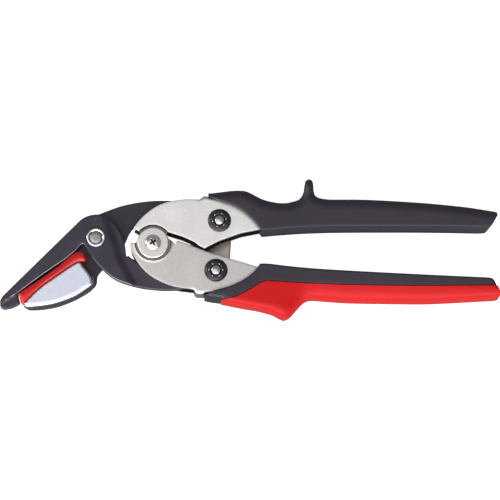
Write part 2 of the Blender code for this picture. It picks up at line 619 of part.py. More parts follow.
def make_blade_pivot(axis, steel, bright):
    """The blades' rivet: a pin with a head behind the knife and a bright collar on the beak."""
    seat = BLADE_FACE + GAP
    end, head = 7.3, -seat - 0.9
    rivet = [(0.0, end), (BLADE_PIN_R - 0.3, end), (BLADE_PIN_R, end - 0.3), (BLADE_PIN_R, -seat),
             (COLLAR_R, -seat), (COLLAR_R - 0.5, head), (0.0, head)]
    turned("blade_pivot_rivet", rivet, BLADE_PIVOT, axis, steel)
    bore = BLADE_PIN_R + GAP
    collar = [(bore, end - 0.2), (bore + 0.5, end - 0.1), (COLLAR_R, end - 0.6), (COLLAR_R, seat),
              (bore, seat)]
    turned("blade_pivot_collar", collar, BLADE_PIVOT, axis, bright)


def make_latch(axis, material):
    """A hook on the lower link pin. It swings behind the frames to catch the upper link pin."""
    reach = math.dist(UPPER_LINK, LOWER_LINK)
    neck = LINK_PIN_R + LATCH_PLAY
    throat = 90.0 + LATCH_SWING + math.degrees(neck / reach) + 1.0
    tip = 90.0 + LATCH_SWING - 6.0
    edge_x = 6.4
    top = math.degrees(math.acos(edge_x / (reach - neck)))
    back = reach + neck + 3.4
    outline = arc(LOWER_LINK, LATCH_HUB_R, 195.0, 345.0)
    outline += [(LOWER_LINK[0] + edge_x, LOWER_LINK[1] + 1.0)]
    outline += arc(LOWER_LINK, reach - neck, top, throat - 5.0, 6.0)
    outline += [polar(LOWER_LINK, reach - 1.6, throat - 0.9), polar(LOWER_LINK, reach + 1.6, throat - 0.9)]
    outline += arc(LOWER_LINK, reach + neck, throat - 4.0, tip, 6.0)
    outline += [polar(LOWER_LINK, reach + neck + 1.7, tip - 1.2)]
    outline += arc(LOWER_LINK, back, tip + 1.0, throat + 8.0, 6.0)
    outline += [polar(LOWER_LINK, reach + 1.0, throat + 12.0), polar(LOWER_LINK, 15.0, 140.0)]
    eye = circle(LOWER_LINK, LINK_PIN_R + GAP, 24)
    plate = prism("latch_plate", [outline, eye], LATCH_BACK, LATCH_FRONT, axis, material)
    lip = [polar(LOWER_LINK, back - 0.4, throat + 7.0), polar(LOWER_LINK, reach + 1.0, throat + 10.6),
           polar(LOWER_LINK, reach - 2.0, throat + 9.4), polar(LOWER_LINK, back - 0.8, throat + 4.2)]
    thumb_lip = prism("latch_lip", [lip], LATCH_BACK - 1.3, LATCH_BACK + 0.5, axis, material)
    boolean(plate, "UNION", thumb_lip)
    return plate


# ---------------------------------------------------------------- assembly

def main():
    clear_scene()
    blackened = make_material("blackened_steel", (0.05, 0.045, 0.05), 0.38, 0.7)
    plate_steel = make_material("plated_steel", (0.66, 0.64, 0.62), 0.32, 1.0)
    pin_steel = make_material("pin_steel", (0.42, 0.41, 0.40), 0.3, 1.0)
    bright_steel = make_material("bright_steel", (0.78, 0.77, 0.76), 0.18, 1.0)
    black_grip = make_material("black_grip", (0.045, 0.04, 0.045), 0.55, 0.0)
    red_grip = make_material("red_grip", (0.72, 0.02, 0.03), 0.42, 0.0)
    red_rubber = make_material("red_rubber", (0.68, 0.02, 0.03), 0.35, 0.0)

    lower = make_axis("lower_handle_axis", HANDLE_PIVOT)
    upper = make_axis("upper_handle_axis", HANDLE_PIVOT, lower)
    beak = make_axis("beak_blade_axis", LOWER_LINK, lower)
    knife = make_axis("knife_blade_axis", BLADE_PIVOT, beak)
    latch = make_axis("latch_axis", LOWER_LINK, lower)

    make_lower_frame(lower, plate_steel)
    make_lower_grip(lower, black_grip, red_grip)
    make_handle_pivot(lower, pin_steel, bright_steel)
    make_link_pin("lower", LOWER_LINK, 3.0, lower, bright_steel, blackened)
    make_opening_spring("lower_opening_spring", LOWER_LINK, -1, lower, pin_steel)

    make_upper_frame(upper, plate_steel)
    make_upper_grip(upper, black_grip)
    make_link_pin("upper", UPPER_LINK, 14.0, upper, bright_steel, blackened)
    make_opening_spring("upper_opening_spring", UPPER_LINK, 1, upper, pin_steel)

    make_beak_blade(beak, blackened)
    make_blade_pivot(beak, pin_steel, bright_steel)
    make_knife_blade(knife, blackened)
    make_hold_down(knife, red_rubber, bright_steel, pin_steel)
    make_latch(latch, plate_steel)


main()
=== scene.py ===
"""Looks of the compound-leverage strap cutter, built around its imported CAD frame.

Metres, in the CAD's own frame: +X to the grips, +Y to the upper handle, +Z up out of the front.
Measures of details are in millimetres times MM, and heights named z_ are above the shear plane.
"""
import json
import math
import bmesh
import bpy
import numpy as np
from mathutils import Matrix, Vector
from mathutils.geometry import delaunay_2d_cdt


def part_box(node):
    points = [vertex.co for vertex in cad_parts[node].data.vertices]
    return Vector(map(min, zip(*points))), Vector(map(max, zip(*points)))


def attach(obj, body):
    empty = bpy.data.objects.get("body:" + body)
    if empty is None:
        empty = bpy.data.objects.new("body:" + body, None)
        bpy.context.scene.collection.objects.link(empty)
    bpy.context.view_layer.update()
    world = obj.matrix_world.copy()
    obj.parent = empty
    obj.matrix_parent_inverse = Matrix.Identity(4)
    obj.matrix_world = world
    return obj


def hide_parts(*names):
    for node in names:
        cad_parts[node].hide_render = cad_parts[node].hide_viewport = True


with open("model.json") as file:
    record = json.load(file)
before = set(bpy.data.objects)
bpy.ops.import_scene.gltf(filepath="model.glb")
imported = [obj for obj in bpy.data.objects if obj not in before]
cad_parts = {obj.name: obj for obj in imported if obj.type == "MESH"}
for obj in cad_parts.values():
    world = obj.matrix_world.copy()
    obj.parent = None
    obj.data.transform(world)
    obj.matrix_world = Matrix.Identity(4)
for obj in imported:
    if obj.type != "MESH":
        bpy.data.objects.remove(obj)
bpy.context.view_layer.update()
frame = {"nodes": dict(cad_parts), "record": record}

MM = 0.001
MID = 10.0 * MM                  # height of the shear plane
NODES = frame["nodes"]
BODIES = frame["record"]["behaviour"]["bodies"]
BODY_OF = {node: body for body, members in BODIES.items() for node in members}
SLOT_OF = {row["node"]: row["material_slot"] for row in frame["record"]["subparts"]}
HANDLE_PIVOT = (0.0, 0.0)
UPPER_LINK = (32.2 * MM, 13.6 * MM)
LOWER_LINK = (32.2 * MM, -11.6 * MM)
BLADE_PIVOT = (-28.6 * MM, 0.8 * MM)


# ---------------------------------------------------------------- materials

class Nodes:
    """Short calls for building one material's node tree."""

    def __init__(self, name):
        self.material = bpy.data.materials.new(name)
        self.material.use_nodes = True
        self.tree = self.material.node_tree
        self.shader = self.tree.nodes["Principled BSDF"]
        self.where = self.add("ShaderNodeTexCoord").outputs["Object"]

    def add(self, kind, **settings):
        node = self.tree.nodes.new(kind)
        for key, value in settings.items():
            setattr(node, key, value)
        return node

    def link(self, source, target):
        self.tree.links.new(source, target)

    def stretched(self, scale):
        mapping = self.add("ShaderNodeMapping")
        mapping.inputs["Scale"].default_value = scale
        self.link(self.where, mapping.inputs["Vector"])
        return mapping.outputs["Vector"]

    def noise(self, size, detail=2.0, roughness=0.5, along=None):
        """Noise whose features are about `size` metres across."""
        node = self.add("ShaderNodeTexNoise")
        node.inputs["Scale"].default_value = 1.0 / size
        node.inputs["Detail"].default_value = detail
        node.inputs["Roughness"].default_value = roughness
        self.link(along or self.where, node.inputs["Vector"])
        return node.outputs["Fac"]

    def remap(self, source, low, high, from_low=0.0, from_high=1.0):
        node = self.add("ShaderNodeMapRange")
        node.inputs["From Min"].default_value = from_low
        node.inputs["From Max"].default_value = from_high
        node.inputs["To Min"].default_value = low
        node.inputs["To Max"].default_value = high
        self.link(source, node.inputs["Value"])
        return node.outputs["Result"]

    def mix(self, factor, first, second):
        node = self.add("ShaderNodeMix", data_type="RGBA")
        self.link(factor, node.inputs["Factor"])
        for socket, value in (("A", first), ("B", second)):
            target = next(s for s in node.inputs if s.name == socket and s.type == "RGBA")
            if isinstance(value, tuple):
                target.default_value = (*value, 1.0)
            else:
                self.link(value, target)
        return next(s for s in node.outputs if s.type == "RGBA")

    def add_values(self, first, second, weight):
        node = self.add("ShaderNodeMath", operation="MULTIPLY_ADD")
        self.link(second, node.inputs[0])
        node.inputs[1].default_value = weight
        self.link(first, node.inputs[2])
        return node.outputs[0]

    def edges(self, low, high):
        """0 on flat stretches, 1 on sharp outer edges; low and high are pointiness, 0.5 on a flat."""
        pointy = self.add("ShaderNodeNewGeometry").outputs["Pointiness"]
        return self.remap(pointy, 0.0, 1.0, low, high)

    def crevices(self, reach, low=0.25, high=0.8):
        """0 deep in a gap, 1 on open surfaces."""
        node = self.add("ShaderNodeAmbientOcclusion", samples=8)
        node.inputs["Distance"].default_value = reach
        return self.remap(node.outputs["AO"], 0.0, 1.0, low, high)

    def facing(self, direction, low, high):
        """Rises from 0 to 1 as the piece's own surface turns to a direction."""
        node = self.add("ShaderNodeVectorMath", operation="DOT_PRODUCT")
        self.link(self.add("ShaderNodeTexCoord").outputs["Normal"], node.inputs[0])
        node.inputs[1].default_value = direction
        return self.remap(node.outputs["Value"], 0.0, 1.0, low, high)

    def times(self, first, second):
        node = self.add("ShaderNodeMath", operation="MULTIPLY")
        self.link(first, node.inputs[0])
        self.link(second, node.inputs[1])
        return node.outputs[0]

    def turned_inward(self):
        """1 on faces that look at the shear plane, 0 on the others."""
        height = self.add("ShaderNodeSeparateXYZ")
        self.link(self.where, height.inputs[0])
        side = self.remap(height.outputs["Z"], -1.0, 1.0, MID - 0.2 * MM, MID + 0.2 * MM)
        node = self.add("ShaderNodeSeparateXYZ")
        self.link(self.add("ShaderNodeTexCoord").outputs["Normal"], node.inputs[0])
        return self.remap(self.times(side, node.outputs["Z"]), 1.0, 0.0, -0.8, -0.2)

    def bump(self, height, strength, distance):
        node = self.add("ShaderNodeBump")
        node.inputs["Strength"].default_value = strength
        node.inputs["Distance"].default_value = distance
        self.link(height, node.inputs["Height"])
        self.link(node.outputs["Normal"], self.shader.inputs["Normal"])

    def set(self, **values):
        for key, value in values.items():
            self.shader.inputs[key.replace("_", " ")].default_value = value


# Colour painted as shade into gaps, recesses and the frames' inner faces.
PAINTED_SHADE = (0.055, 0.045, 0.042)
# Light grey of the painted highlight on the blades' edges.
HIGHLIGHT_GREY = (0.42, 0.41, 0.46)
LIT_SIDE = (0.2, -0.98, 0.0)  # the side the light comes from; raised edges turned to it get a painted highlight


def satin_plate(name, light, dark, reach=0.003, closed=0.3, open_=0.8, inside=True):
    """Nickel-plated sheet, tumbled to an even satin; its gaps and, unless inside is off, its inner faces are
    darkened with painted shade.
    """
    m = Nodes(name)
    grain = m.noise(0.0005, 2.0, 0.6)
    cloud = m.noise(0.012, 3.0)
    tone = m.mix(m.remap(cloud, 0.0, 1.0, 0.35, 0.65), dark, light)
    speckled = m.mix(m.remap(grain, 0.0, 0.6, 0.35, 0.7), tone, tuple(0.78 * c for c in dark))
    # Painted shade: ambient occlusion darkens the gaps, and faces that look at the shear plane are painted
    # dark.
    shaded_tone = m.mix(m.crevices(reach, closed, open_), PAINTED_SHADE, speckled)
    m.link(m.mix(m.turned_inward(), shaded_tone, PAINTED_SHADE) if inside else shaded_tone, m.shader.inputs["Base Color"])
    m.link(m.remap(m.add_values(cloud, grain, 0.6), 0.30, 0.42, 0.5, 1.1), m.shader.inputs["Roughness"])
    m.set(Metallic=1.0)
    m.bump(grain, 0.3, 0.00006)
    return m.material


def turned_steel(name, colour, roughness, ring=0.00012, blotch=0.8):
    """Turned steel: fine tool marks, a few darker clouds, and painted shade in its gaps."""
    m = Nodes(name)
    lines = m.noise(ring, 2.0, 0.5, along=m.stretched((1.0, 1.0, 5.0)))
    cloud = m.noise(0.003, 3.0)
    dark = tuple(blotch * c for c in colour)
    tone = m.mix(m.remap(cloud, 0.0, 0.6, 0.4, 0.7), colour, dark)
    # Painted shade: ambient occlusion darkens gaps and recesses.
    m.link(m.mix(m.crevices(0.002), PAINTED_SHADE, tone), m.shader.inputs["Base Color"])
    m.link(m.remap(lines, roughness * 0.85, roughness * 1.25), m.shader.inputs["Roughness"])
    m.set(Metallic=1.0)
    m.bump(lines, 0.12, 0.00002)
    return m.material


def black_oxide(name, colour, roughness, painted_highlight=0.0):
    """Blackened steel with a fine blasted grain; raised edges turned towards the lit side get a painted
    highlight.
    """
    m = Nodes(name)
    grain = m.noise(0.00016, 3.0, 0.6)
    cloud = m.noise(0.009, 4.0)
    light = tuple(1.3 * c for c in colour)
    tone = m.mix(m.remap(cloud, 0.0, 1.0, 0.35, 0.7), colour, light)
    # Painted highlight: raised faces tilted towards the lit side are mixed towards a light grey.
    near_side = m.facing(LIT_SIDE, 0.3, 0.55)
    not_wall = m.facing((0.0, 0.0, 1.0), 0.35, 0.6)
    height = m.add("ShaderNodeSeparateXYZ")
    m.link(m.where, height.inputs[0])
    raised = m.remap(height.outputs["Z"], 0.15, 1.0, MID + 4.3 * MM, MID + 5.3 * MM)
    edge = m.remap(m.times(m.times(near_side, not_wall), raised), 0.0, painted_highlight)
    m.link(m.mix(edge, tone, HIGHLIGHT_GREY), m.shader.inputs["Base Color"])
    m.link(m.remap(m.add_values(cloud, grain, 0.7), roughness - 0.05, roughness + 0.09, 0.5, 1.2),
           m.shader.inputs["Roughness"])
    m.set(Metallic=0.25, Specular_IOR_Level=0.5)
    m.bump(grain, 0.3, 0.00005)
    return m.material


def moulded_plastic(name, colour, dark, roughness, grain_size, grain_depth, gloss=0.5):
    """Injection-moulded grip: even colour, fine spark-eroded grain, edges a little polished."""
    m = Nodes(name)
    grain = m.noise(grain_size, 2.0, 0.55)
    cloud = m.noise(0.02, 3.0)
    m.link(m.mix(m.remap(cloud, 0.0, 1.0, 0.3, 0.7), colour, dark), m.shader.inputs["Base Color"])
    handled = m.add_values(m.remap(grain, roughness - 0.05, roughness + 0.07), m.edges(0.505, 0.56), -0.08)
    m.link(handled, m.shader.inputs["Roughness"])
    m.set(Specular_IOR_Level=gloss)
    m.bump(grain, 0.4, grain_depth)
    return m.material


MATERIALS = {
    "plated_steel": satin_plate("satin_plate", (0.90, 0.875, 0.87), (0.83, 0.805, 0.80)),
    "pin_steel": turned_steel("turned_pin_steel", (0.36, 0.35, 0.37), 0.33),
    "bright_steel": turned_steel("bright_plated_steel", (0.80, 0.80, 0.83), 0.17),
    "blackened_steel": black_oxide("black_oxide_blades", (0.026, 0.020, 0.033), 0.42, painted_highlight=0.9),
    "cap_steel": black_oxide("black_oxide_caps", (0.018, 0.015, 0.021), 0.32),
    "black_grip": moulded_plastic("black_moulding", (0.022, 0.0155, 0.027), (0.018, 0.0125, 0.023), 0.5,
                                  0.00032, 0.00003, gloss=0.45),
    "red_grip": moulded_plastic("red_moulding", (0.50, 0.007, 0.009), (0.46, 0.006, 0.007), 0.42,
                                0.00045, 0.000012, gloss=0.15),
    "red_rubber": moulded_plastic("red_rubber", (0.56, 0.008, 0.009), (0.42, 0.005, 0.006), 0.34,
                                  0.0006, 0.00003, gloss=0.5),
}
# A darker copy of the plate finish: painted shade on the lower frame.
LOWER_PLATE = satin_plate("satin_plate_shaded", (0.68, 0.655, 0.645), (0.63, 0.605, 0.595))
WASHER_STEEL = satin_plate("satin_washer", (0.79, 0.765, 0.75), (0.75, 0.725, 0.71))
KNIFE_STEEL = black_oxide("black_oxide_knife", (0.022, 0.017, 0.028), 0.42, painted_highlight=0.1)
# A darker copy of the plate finish with far-reaching ambient occlusion: painted shade on the latch, which
# sits behind the frames.
LATCH_STEEL = satin_plate("satin_latch", (0.60, 0.565, 0.535), (0.54, 0.50, 0.47), 0.012, 0.3, 0.95,
                          inside=False)
LINK_STEEL = turned_steel("link_pin_steel", (0.50, 0.48, 0.51), 0.3)
SHOE_STEEL = turned_steel("brushed_shoe_steel", (0.69, 0.71, 0.82), 0.24, ring=0.0002, blotch=0.92)
SCREW_STEEL = turned_steel("polished_screw_steel", (0.72, 0.71, 0.70), 0.16)


# ---------------------------------------------------------------- riding on the CAD

def adopt(piece, node, material=None):
    """The piece stands for this CAD node: same body, same material slot."""
    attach(piece, BODY_OF[node])
    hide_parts(node)
    piece.data.materials.clear()
    piece.data.materials.append(material or MATERIALS[SLOT_OF[node]])
    return piece


def new_object(name, bm, smooth_angle=40.0):
    mesh = bpy.data.meshes.new(name)
    bm.to_mesh(mesh)
    bm.free()
    piece = bpy.data.objects.new(name, mesh)
    bpy.context.scene.collection.objects.link(piece)
    mesh.shade_smooth()
    mesh.set_sharp_from_angle(angle=math.radians(smooth_angle))
    return piece


def even_normals(piece):
    """Flat faces shade flat and the roundings between them shade round."""
    modifier = piece.modifiers.new("even_normals", "WEIGHTED_NORMAL")
    modifier.mode = "FACE_AREA"
    modifier.weight = 60
    modifier.keep_sharp = True


# ---------------------------------------------------------------- outlines

def slice_loops(node, z):
    """The closed outlines of a CAD node cut level at height z, the rim first and its holes after it.

    The rim runs counter-clockwise and the holes clockwise, so material is always on the left.
    """
    bm = bmesh.new()
    bm.from_mesh(NODES[node].data)
    bmesh.ops.remove_doubles(bm, verts=bm.verts, dist=1e-6)
    cut = bmesh.ops.bisect_plane(bm, geom=bm.verts[:] + bm.edges[:] + bm.faces[:], plane_co=(0, 0, MID + z),
                                 plane_no=(0, 0, 1), clear_inner=True, clear_outer=True)
    neighbours = {}
    for edge in cut["geom_cut"]:
        if isinstance(edge, bmesh.types.BMEdge):
            a, b = edge.verts
            neighbours.setdefault(a, []).append(b)
            neighbours.setdefault(b, []).append(a)
    loops = []
    unseen = set(neighbours)
    for start in sorted(neighbours, key=lambda v: tuple(v.co)):
        if start not in unseen:
            continue
        unseen.discard(start)
        loop = [start]
        while True:
            onward = [v for v in neighbours[loop[-1]] if v in unseen]
            if not onward:
                break
            unseen.discard(onward[0])
            loop.append(onward[0])
        loops.append(np.array([(v.co.x, v.co.y) for v in loop]))
    bm.free()
    loops.sort(key=lambda loop: -abs(area_of(loop)))
    return [turned_to(loop, i == 0) for i, loop in enumerate(loops)]


def area_of(loop):
    x, y = loop[:, 0], loop[:, 1]
    return 0.5 * np.sum(x * np.roll(y, -1) - np.roll(x, -1) * y)


def turned_to(loop, counter_clockwise):
    return loop if (area_of(loop) > 0) == counter_clockwise else loop[::-1].copy()


def resample(loop, spacing):
    """Evenly spaced points along a closed loop, its corners kept."""
    ahead = np.roll(loop, -1, 0) - loop
    lengths = np.hypot(*ahead.T)
    behind = np.roll(ahead, 1, 0)
    turn = np.degrees(np.abs(np.arctan2(behind[:, 0] * ahead[:, 1] - behind[:, 1] * ahead[:, 0],
                                        (behind * ahead).sum(1))))
    result = []
    travelled = spacing
    for point, step, length, bend in zip(loop, ahead, lengths, turn):
        if bend > 20.0 or travelled > 0.6 * spacing:
            result.append(point)
            travelled = 0.0
        count = max(1, int(round(length / spacing)))
        for i in range(1, count):
            result.append(point + step * i / count)
            travelled = 0.0
        travelled += length / count
    return np.array(result)


def soften(loop, rounds, corner=25.0):
    """Relaxes the facets of a loop, holding corners sharper than `corner` degrees."""
    for _ in range(rounds):
        before, after = np.roll(loop, 1, 0), np.roll(loop, -1, 0)
        u, v = loop - before, after - loop
        turn = np.degrees(np.abs(np.arctan2(u[:, 0] * v[:, 1] - u[:, 1] * v[:, 0], (u * v).sum(1))))
        weight = np.where(turn > corner, 0.0, 0.5)[:, None]
        loop = loop + weight * ((before + after) / 2 - loop)
    return loop


def circle(centre, radius, sides=96):
    """Points counter-clockwise round a circle."""
    turns = np.arange(sides) * 2 * math.pi / sides
    return np.stack([centre[0] + radius * np.cos(turns), centre[1] + radius * np.sin(turns)], 1)


def normals_of(loop):
    """Unit normals out of the material at the points of a loop."""
    along = np.roll(loop, -1, 0) - np.roll(loop, 1, 0)
    along /= np.maximum(np.hypot(*along.T), 1e-12)[:, None]
    return np.stack([along[:, 1], -along[:, 0]], 1)


def segment_distance(points, starts, ends):
    """Distances of points to segments, and how far along each the nearest spot is."""
    span = ends - starts
    square = np.maximum((span ** 2).sum(1), 1e-18)
    rel = points[:, None, :] - starts[None]
    t = np.clip((rel * span[None]).sum(2) / square[None], 0.0, 1.0)
    gap = rel - t[..., None] * span[None]
    return np.hypot(gap[..., 0], gap[..., 1]), t


def side_distance(points, line):
    """Signed distance to an open line, positive on its left."""
    starts, ends = line[:-1], line[1:]
    gap, _ = segment_distance(points, starts, ends)
    near = gap.argmin(1)
    span, rel = (ends - starts)[near], points - starts[near]
    return np.where(span[:, 0] * rel[:, 1] - span[:, 1] * rel[:, 0] > 0, 1, -1) * gap.min(1)


def inside(points, loop):
    x, y = points[:, 0][:, None], points[:, 1][:, None]
    x1, y1 = loop[:, 0][None], loop[:, 1][None]
    x2, y2 = np.roll(loop[:, 0], -1)[None], np.roll(loop[:, 1], -1)[None]
    crosses = (y1 > y) != (y2 > y)
    with np.errstate(divide="ignore", invalid="ignore"):
        at = (x2 - x1) * (y - y1) / (y2 - y1) + x1
    return (crosses & (x < at)).sum(1) % 2 == 1


def in_material(points, loops):
    """Which points lie inside the rim and outside every hole."""
    result = inside(points, loops[0])
    for hole in loops[1:]:
        result &= ~inside(points, hole)
    return result


def smooth_along(values, rounds):
    """Averages each value on a closed loop with its neighbours."""
    for _ in range(rounds):
        values = (np.roll(values, 1) + values + np.roll(values, -1)) / 3
    return values


def smoothstep(values, low, high):
    t = np.clip((values - low) / (high - low), 0.0, 1.0)
    return t * t * (3 - 2 * t)


def spline(points, pieces=6):
    """A smooth open curve through points given in millimetres (Catmull-Rom), in metres."""
    knots = np.array([points[0]] + list(points) + [points[-1]]) * MM
    result = []
    for i in range(1, len(knots) - 2):
        p0, p1, p2, p3 = knots[i - 1:i + 3]
        for j in range(pieces):
            t = j / pieces
            result.append(0.5 * (2 * p1 + (p2 - p0) * t + (2 * p0 - 5 * p1 + 4 * p2 - p3) * t ** 2
                                 + (3 * p1 - p0 - 3 * p2 + p3) * t ** 3))
    result.append(knots[-2])
    return np.array(result)


# ---------------------------------------------------------------- solids with rounded faces

class Rim:
    """A loop and, at each of its points, how wide and how deep its edge is rounded."""

    def __init__(self, loop, wide, deep):
        self.loop = loop
        self.wide = np.broadcast_to(np.asarray(wide, float), len(loop)).copy()
        self.deep = np.broadcast_to(np.asarray(deep, float), len(loop)).copy()

    def parts(self, keep=None):
        keep = np.ones(len(self.loop), bool) if keep is None else keep
        return [a[keep] for a in (self.loop, np.roll(self.loop, -1, 0), self.wide, np.roll(self.wide, -1),
                                  self.deep, np.roll(self.deep, -1))]


def join_parts(*several):
    """One part list from several."""
    return [np.concatenate(rows) for rows in zip(*several)]


def edge_drop(points, parts, power=None):
    """How far the rounded edges lower the face at each point."""
    starts, ends, wide_a, wide_b, deep_a, deep_b = parts
    result = np.zeros(len(points))
    block = 800
    for first in range(0, len(points), block):
        gap, t = segment_distance(points[first:first + block], starts, ends)
        wide = wide_a + (wide_b - wide_a) * t
        deep = deep_a + (deep_b - deep_a) * t
        share = np.clip((wide - gap) / wide, 0.0, 1.0)
        fall = 1.0 - np.sqrt(1.0 - share ** 2) if power is None else share ** power
        result[first:first + block] = (deep * fall).max(1)
    return result


def thin_out(points, least):
    """Drops points closer than `least` to one already kept."""
    cells = {}
    kept = []
    for point in points:
        column, row = int(math.floor(point[0] / least)), int(math.floor(point[1] / least))
        around = [other for i in (-1, 0, 1) for j in (-1, 0, 1)
                  for other in cells.get((column + i, row + j), ())]
        if all(math.dist(other, point) >= least for other in around):
            cells.setdefault((column, row), []).append(point)
            kept.append(point)
    return np.array(kept).reshape(-1, 2)


def fill_points(rims, grid, rings, extra):
    """Points between the rims: rows along every rounding, the extra ones and a lattice."""
    loops = [rim.loop for rim in rims]
    starts = np.concatenate(loops)
    ends = np.concatenate([np.roll(loop, -1, 0) for loop in loops])
    wide = np.concatenate([rim.wide for rim in rims])
    rows = []
    for rim in rims:
        outward = normals_of(rim.loop)
        for i in range(1, rings + 1):
            reach = np.maximum(rim.wide * (1.0 - math.cos(math.pi / 2 * i / rings)), 0.06 * MM * i)
            candidates = rim.loop - outward * reach[:, None]
            gap, _ = segment_distance(candidates, starts, ends)
            rows.append(candidates[(gap.min(1) > 0.9 * reach) & in_material(candidates, loops)])
    if extra is not None:
        gap, _ = segment_distance(extra, starts, ends)
        rows.insert(0, extra[(gap.min(1) > 0.1 * MM) & in_material(extra, loops)])
    low, high = loops[0].min(0), loops[0].max(0)
    xs, ys = np.meshgrid(np.arange(low[0], high[0], grid), np.arange(low[1], high[1], grid * 0.87))
    xs = xs + (np.arange(len(ys)) % 2)[:, None] * grid / 2
    lattice = np.stack([xs.ravel(), ys.ravel()], 1)
    lattice = lattice[in_material(lattice, loops)]
    gap, _ = segment_distance(lattice, starts, ends)
    lattice = lattice[gap.min(1) > np.maximum(wide[gap.argmin(1)], 0.5 * grid) + 0.3 * grid]
    return thin_out(np.concatenate(rows + [lattice]), 0.2 * MM)


def relief(bm, rims, front, back, front_parts=None, back_parts=None, grid=1.2 * MM, rings=6, extra=None,
           power=None):
    """Adds a closed solid to bm: the rims' outline between two faces whose heights are functions.

    A part list rounds the face's edges; without one the face keeps sharp edges.
    """
    loops = [rim.loop for rim in rims]
    points = np.concatenate(loops + [fill_points(rims, grid, rings, extra)])
    edges = []
    first = 0
    for loop in loops:
        edges += [(first + i, first + (i + 1) % len(loop)) for i in range(len(loop))]
        first += len(loop)
    verts, _, faces, *_ = delaunay_2d_cdt([Vector(p) for p in points], edges, [], 1, 1e-9)
    flat = np.array([(v.x, v.y) for v in verts])
    faces = [face for face in faces if len(set(face)) > 2]
    centres = np.array([flat[list(face)].mean(0) for face in faces])
    faces = [face for face, good in zip(faces, in_material(centres, loops)) if good]
    top = np.broadcast_to(front(flat), len(flat)).astype(float)
    bottom = np.broadcast_to(back(flat), len(flat)).astype(float)
    if front_parts is not None:
        top = top - edge_drop(flat, front_parts, power)
    if back_parts is not None:
        bottom = bottom + edge_drop(flat, back_parts)
    top = np.maximum(top, bottom + 0.02 * MM)
    upper = [bm.verts.new((x, y, MID + z)) for (x, y), z in zip(flat, top)]
    lower = [bm.verts.new((x, y, MID + z)) for (x, y), z in zip(flat, bottom)]
    used = set()
    for face in faces:
        bm.faces.new([upper[i] for i in face])
        bm.faces.new([lower[i] for i in reversed(face)])
        used.update(zip(face, face[1:] + face[:1]))
    for a, b in used:
        if (b, a) not in used:
            bm.faces.new((upper[b], upper[a], lower[a], lower[b]))
    loose = [v for v in upper + lower if not v.link_faces]
    bmesh.ops.delete(bm, geom=loose, context="VERTS")


def level(height):
    return lambda points: np.full(len(points), height)


def finish_solid(name, bm, smooth_angle=50.0):
    """An object whose faces point outward and whose shading is even."""
    bmesh.ops.recalc_face_normals(bm, faces=bm.faces)
    piece = new_object(name, bm, smooth_angle)
    even_normals(piece)
    return piece


def lathe(bm, profile, centre, sides=96):
    """Adds a solid of revolution to bm from a closed (radius, height) profile."""
    spokes = circle((0.0, 0.0), 1.0, sides)
    rings = []
    for radius, height in profile:
        if radius < 1e-7:
            rings.append([bm.verts.new((centre[0], centre[1], MID + height))] * sides)
        else:
            rings.append([bm.verts.new((centre[0] + radius * x, centre[1] + radius * y, MID + height))
                          for x, y in spokes])
    for below, ring in zip([rings[-1]] + rings, rings):
        for j in range(sides):
            corners = list(dict.fromkeys((below[j - 1], below[j], ring[j], ring[j - 1])))
            if len(corners) > 2:
                bm.faces.new(corners)


def filleted(corners, steps=5):
    """A closed profile from (radius, height, fillet) corners in millimetres, in metres."""
    profile = []
    count = len(corners)
    for i, (r, z, fillet) in enumerate(corners):
        here = Vector((r, z))
        before = Vector(corners[i - 1][:2]) - here
        after = Vector(corners[(i + 1) % count][:2]) - here
        if fillet <= 0.0:
            profile.append((r * MM, z * MM))
            continue
        half = before.angle(after) / 2
        reach = min(fillet / math.tan(half), 0.49 * before.length, 0.49 * after.length)
        fillet = reach * math.tan(half)
        centre = here + (before.normalized() + after.normalized()).normalized() * (fillet / math.sin(half))
        first = here + before.normalized() * reach - centre
        sweep = (math.pi - 2 * half) * (1 if before.cross(after) < 0 else -1)
        for j in range(steps + 1):
            spoke = Matrix.Rotation(sweep * j / steps, 2) @ first
            profile.append(((centre.x + spoke.x) * MM, (centre.y + spoke.y) * MM))
    return profile


def turned_piece(name, node, corners, centre, sides=96, material=None):
    bm = bmesh.new()
    lathe(bm, filleted(corners), centre, sides)
    return adopt(finish_solid(name, bm, 35.0), node, material)


# ---------------------------------------------------------------- channel frames

PLATE_IN, PLATE_OUT = 4.7 * MM, 6.7 * MM
EAR_IN, EAR_OUT = 2.4 * MM, 4.4 * MM
BEND = 2.0 * MM                  # outer radius of the folded corners
WEB_START = 21.8 * MM
WEB_AT_LEAST = 12.0 * MM         # how far out from the middle line the web's edge lies
EAR_REACH = 13.0 * MM
STRIP_SPACING = 0.7 * MM
LEAST_EDGE = 0.2 * MM
BROKEN_EDGE = 0.2 * MM
RECESS_R = 8.6 * MM
RECESS_RIM = 8.95 * MM
RECESS_SKIRT = 10.0 * MM
RECESS_FLOOR = 5.9 * MM
RECESS_BEAD = 0.24 * MM


def frame_rims(node, side):
    """Wall outlines of a channel frame; the edge along its web is folded."""
    rims = []
    for loop in slice_loops(node, (PLATE_IN + PLATE_OUT) / 2):
        loop = soften(resample(loop, STRIP_SPACING), 2)
        out = normals_of(loop)
        fold = (loop[:, 0] > WEB_START) & (out[:, 1] * side > 0.3) & (loop[:, 1] * side > WEB_AT_LEAST)
        fold = smooth_along(fold.astype(float), 2)
        width = BROKEN_EDGE + (BEND - BROKEN_EDGE) * fold
        rims.append(Rim(loop, width, np.minimum(width, PLATE_OUT - PLATE_IN - 0.03 * MM)))
    return rims


def ear_loops(node, z):
    """Loops of a slice that lie around the handle pivot: an ear's outline and its bore."""
    near = [loop for loop in slice_loops(node, z) if np.hypot(*loop.T).max() < EAR_REACH]
    return [turned_to(loop, i == 0) for i, loop in enumerate(near)]


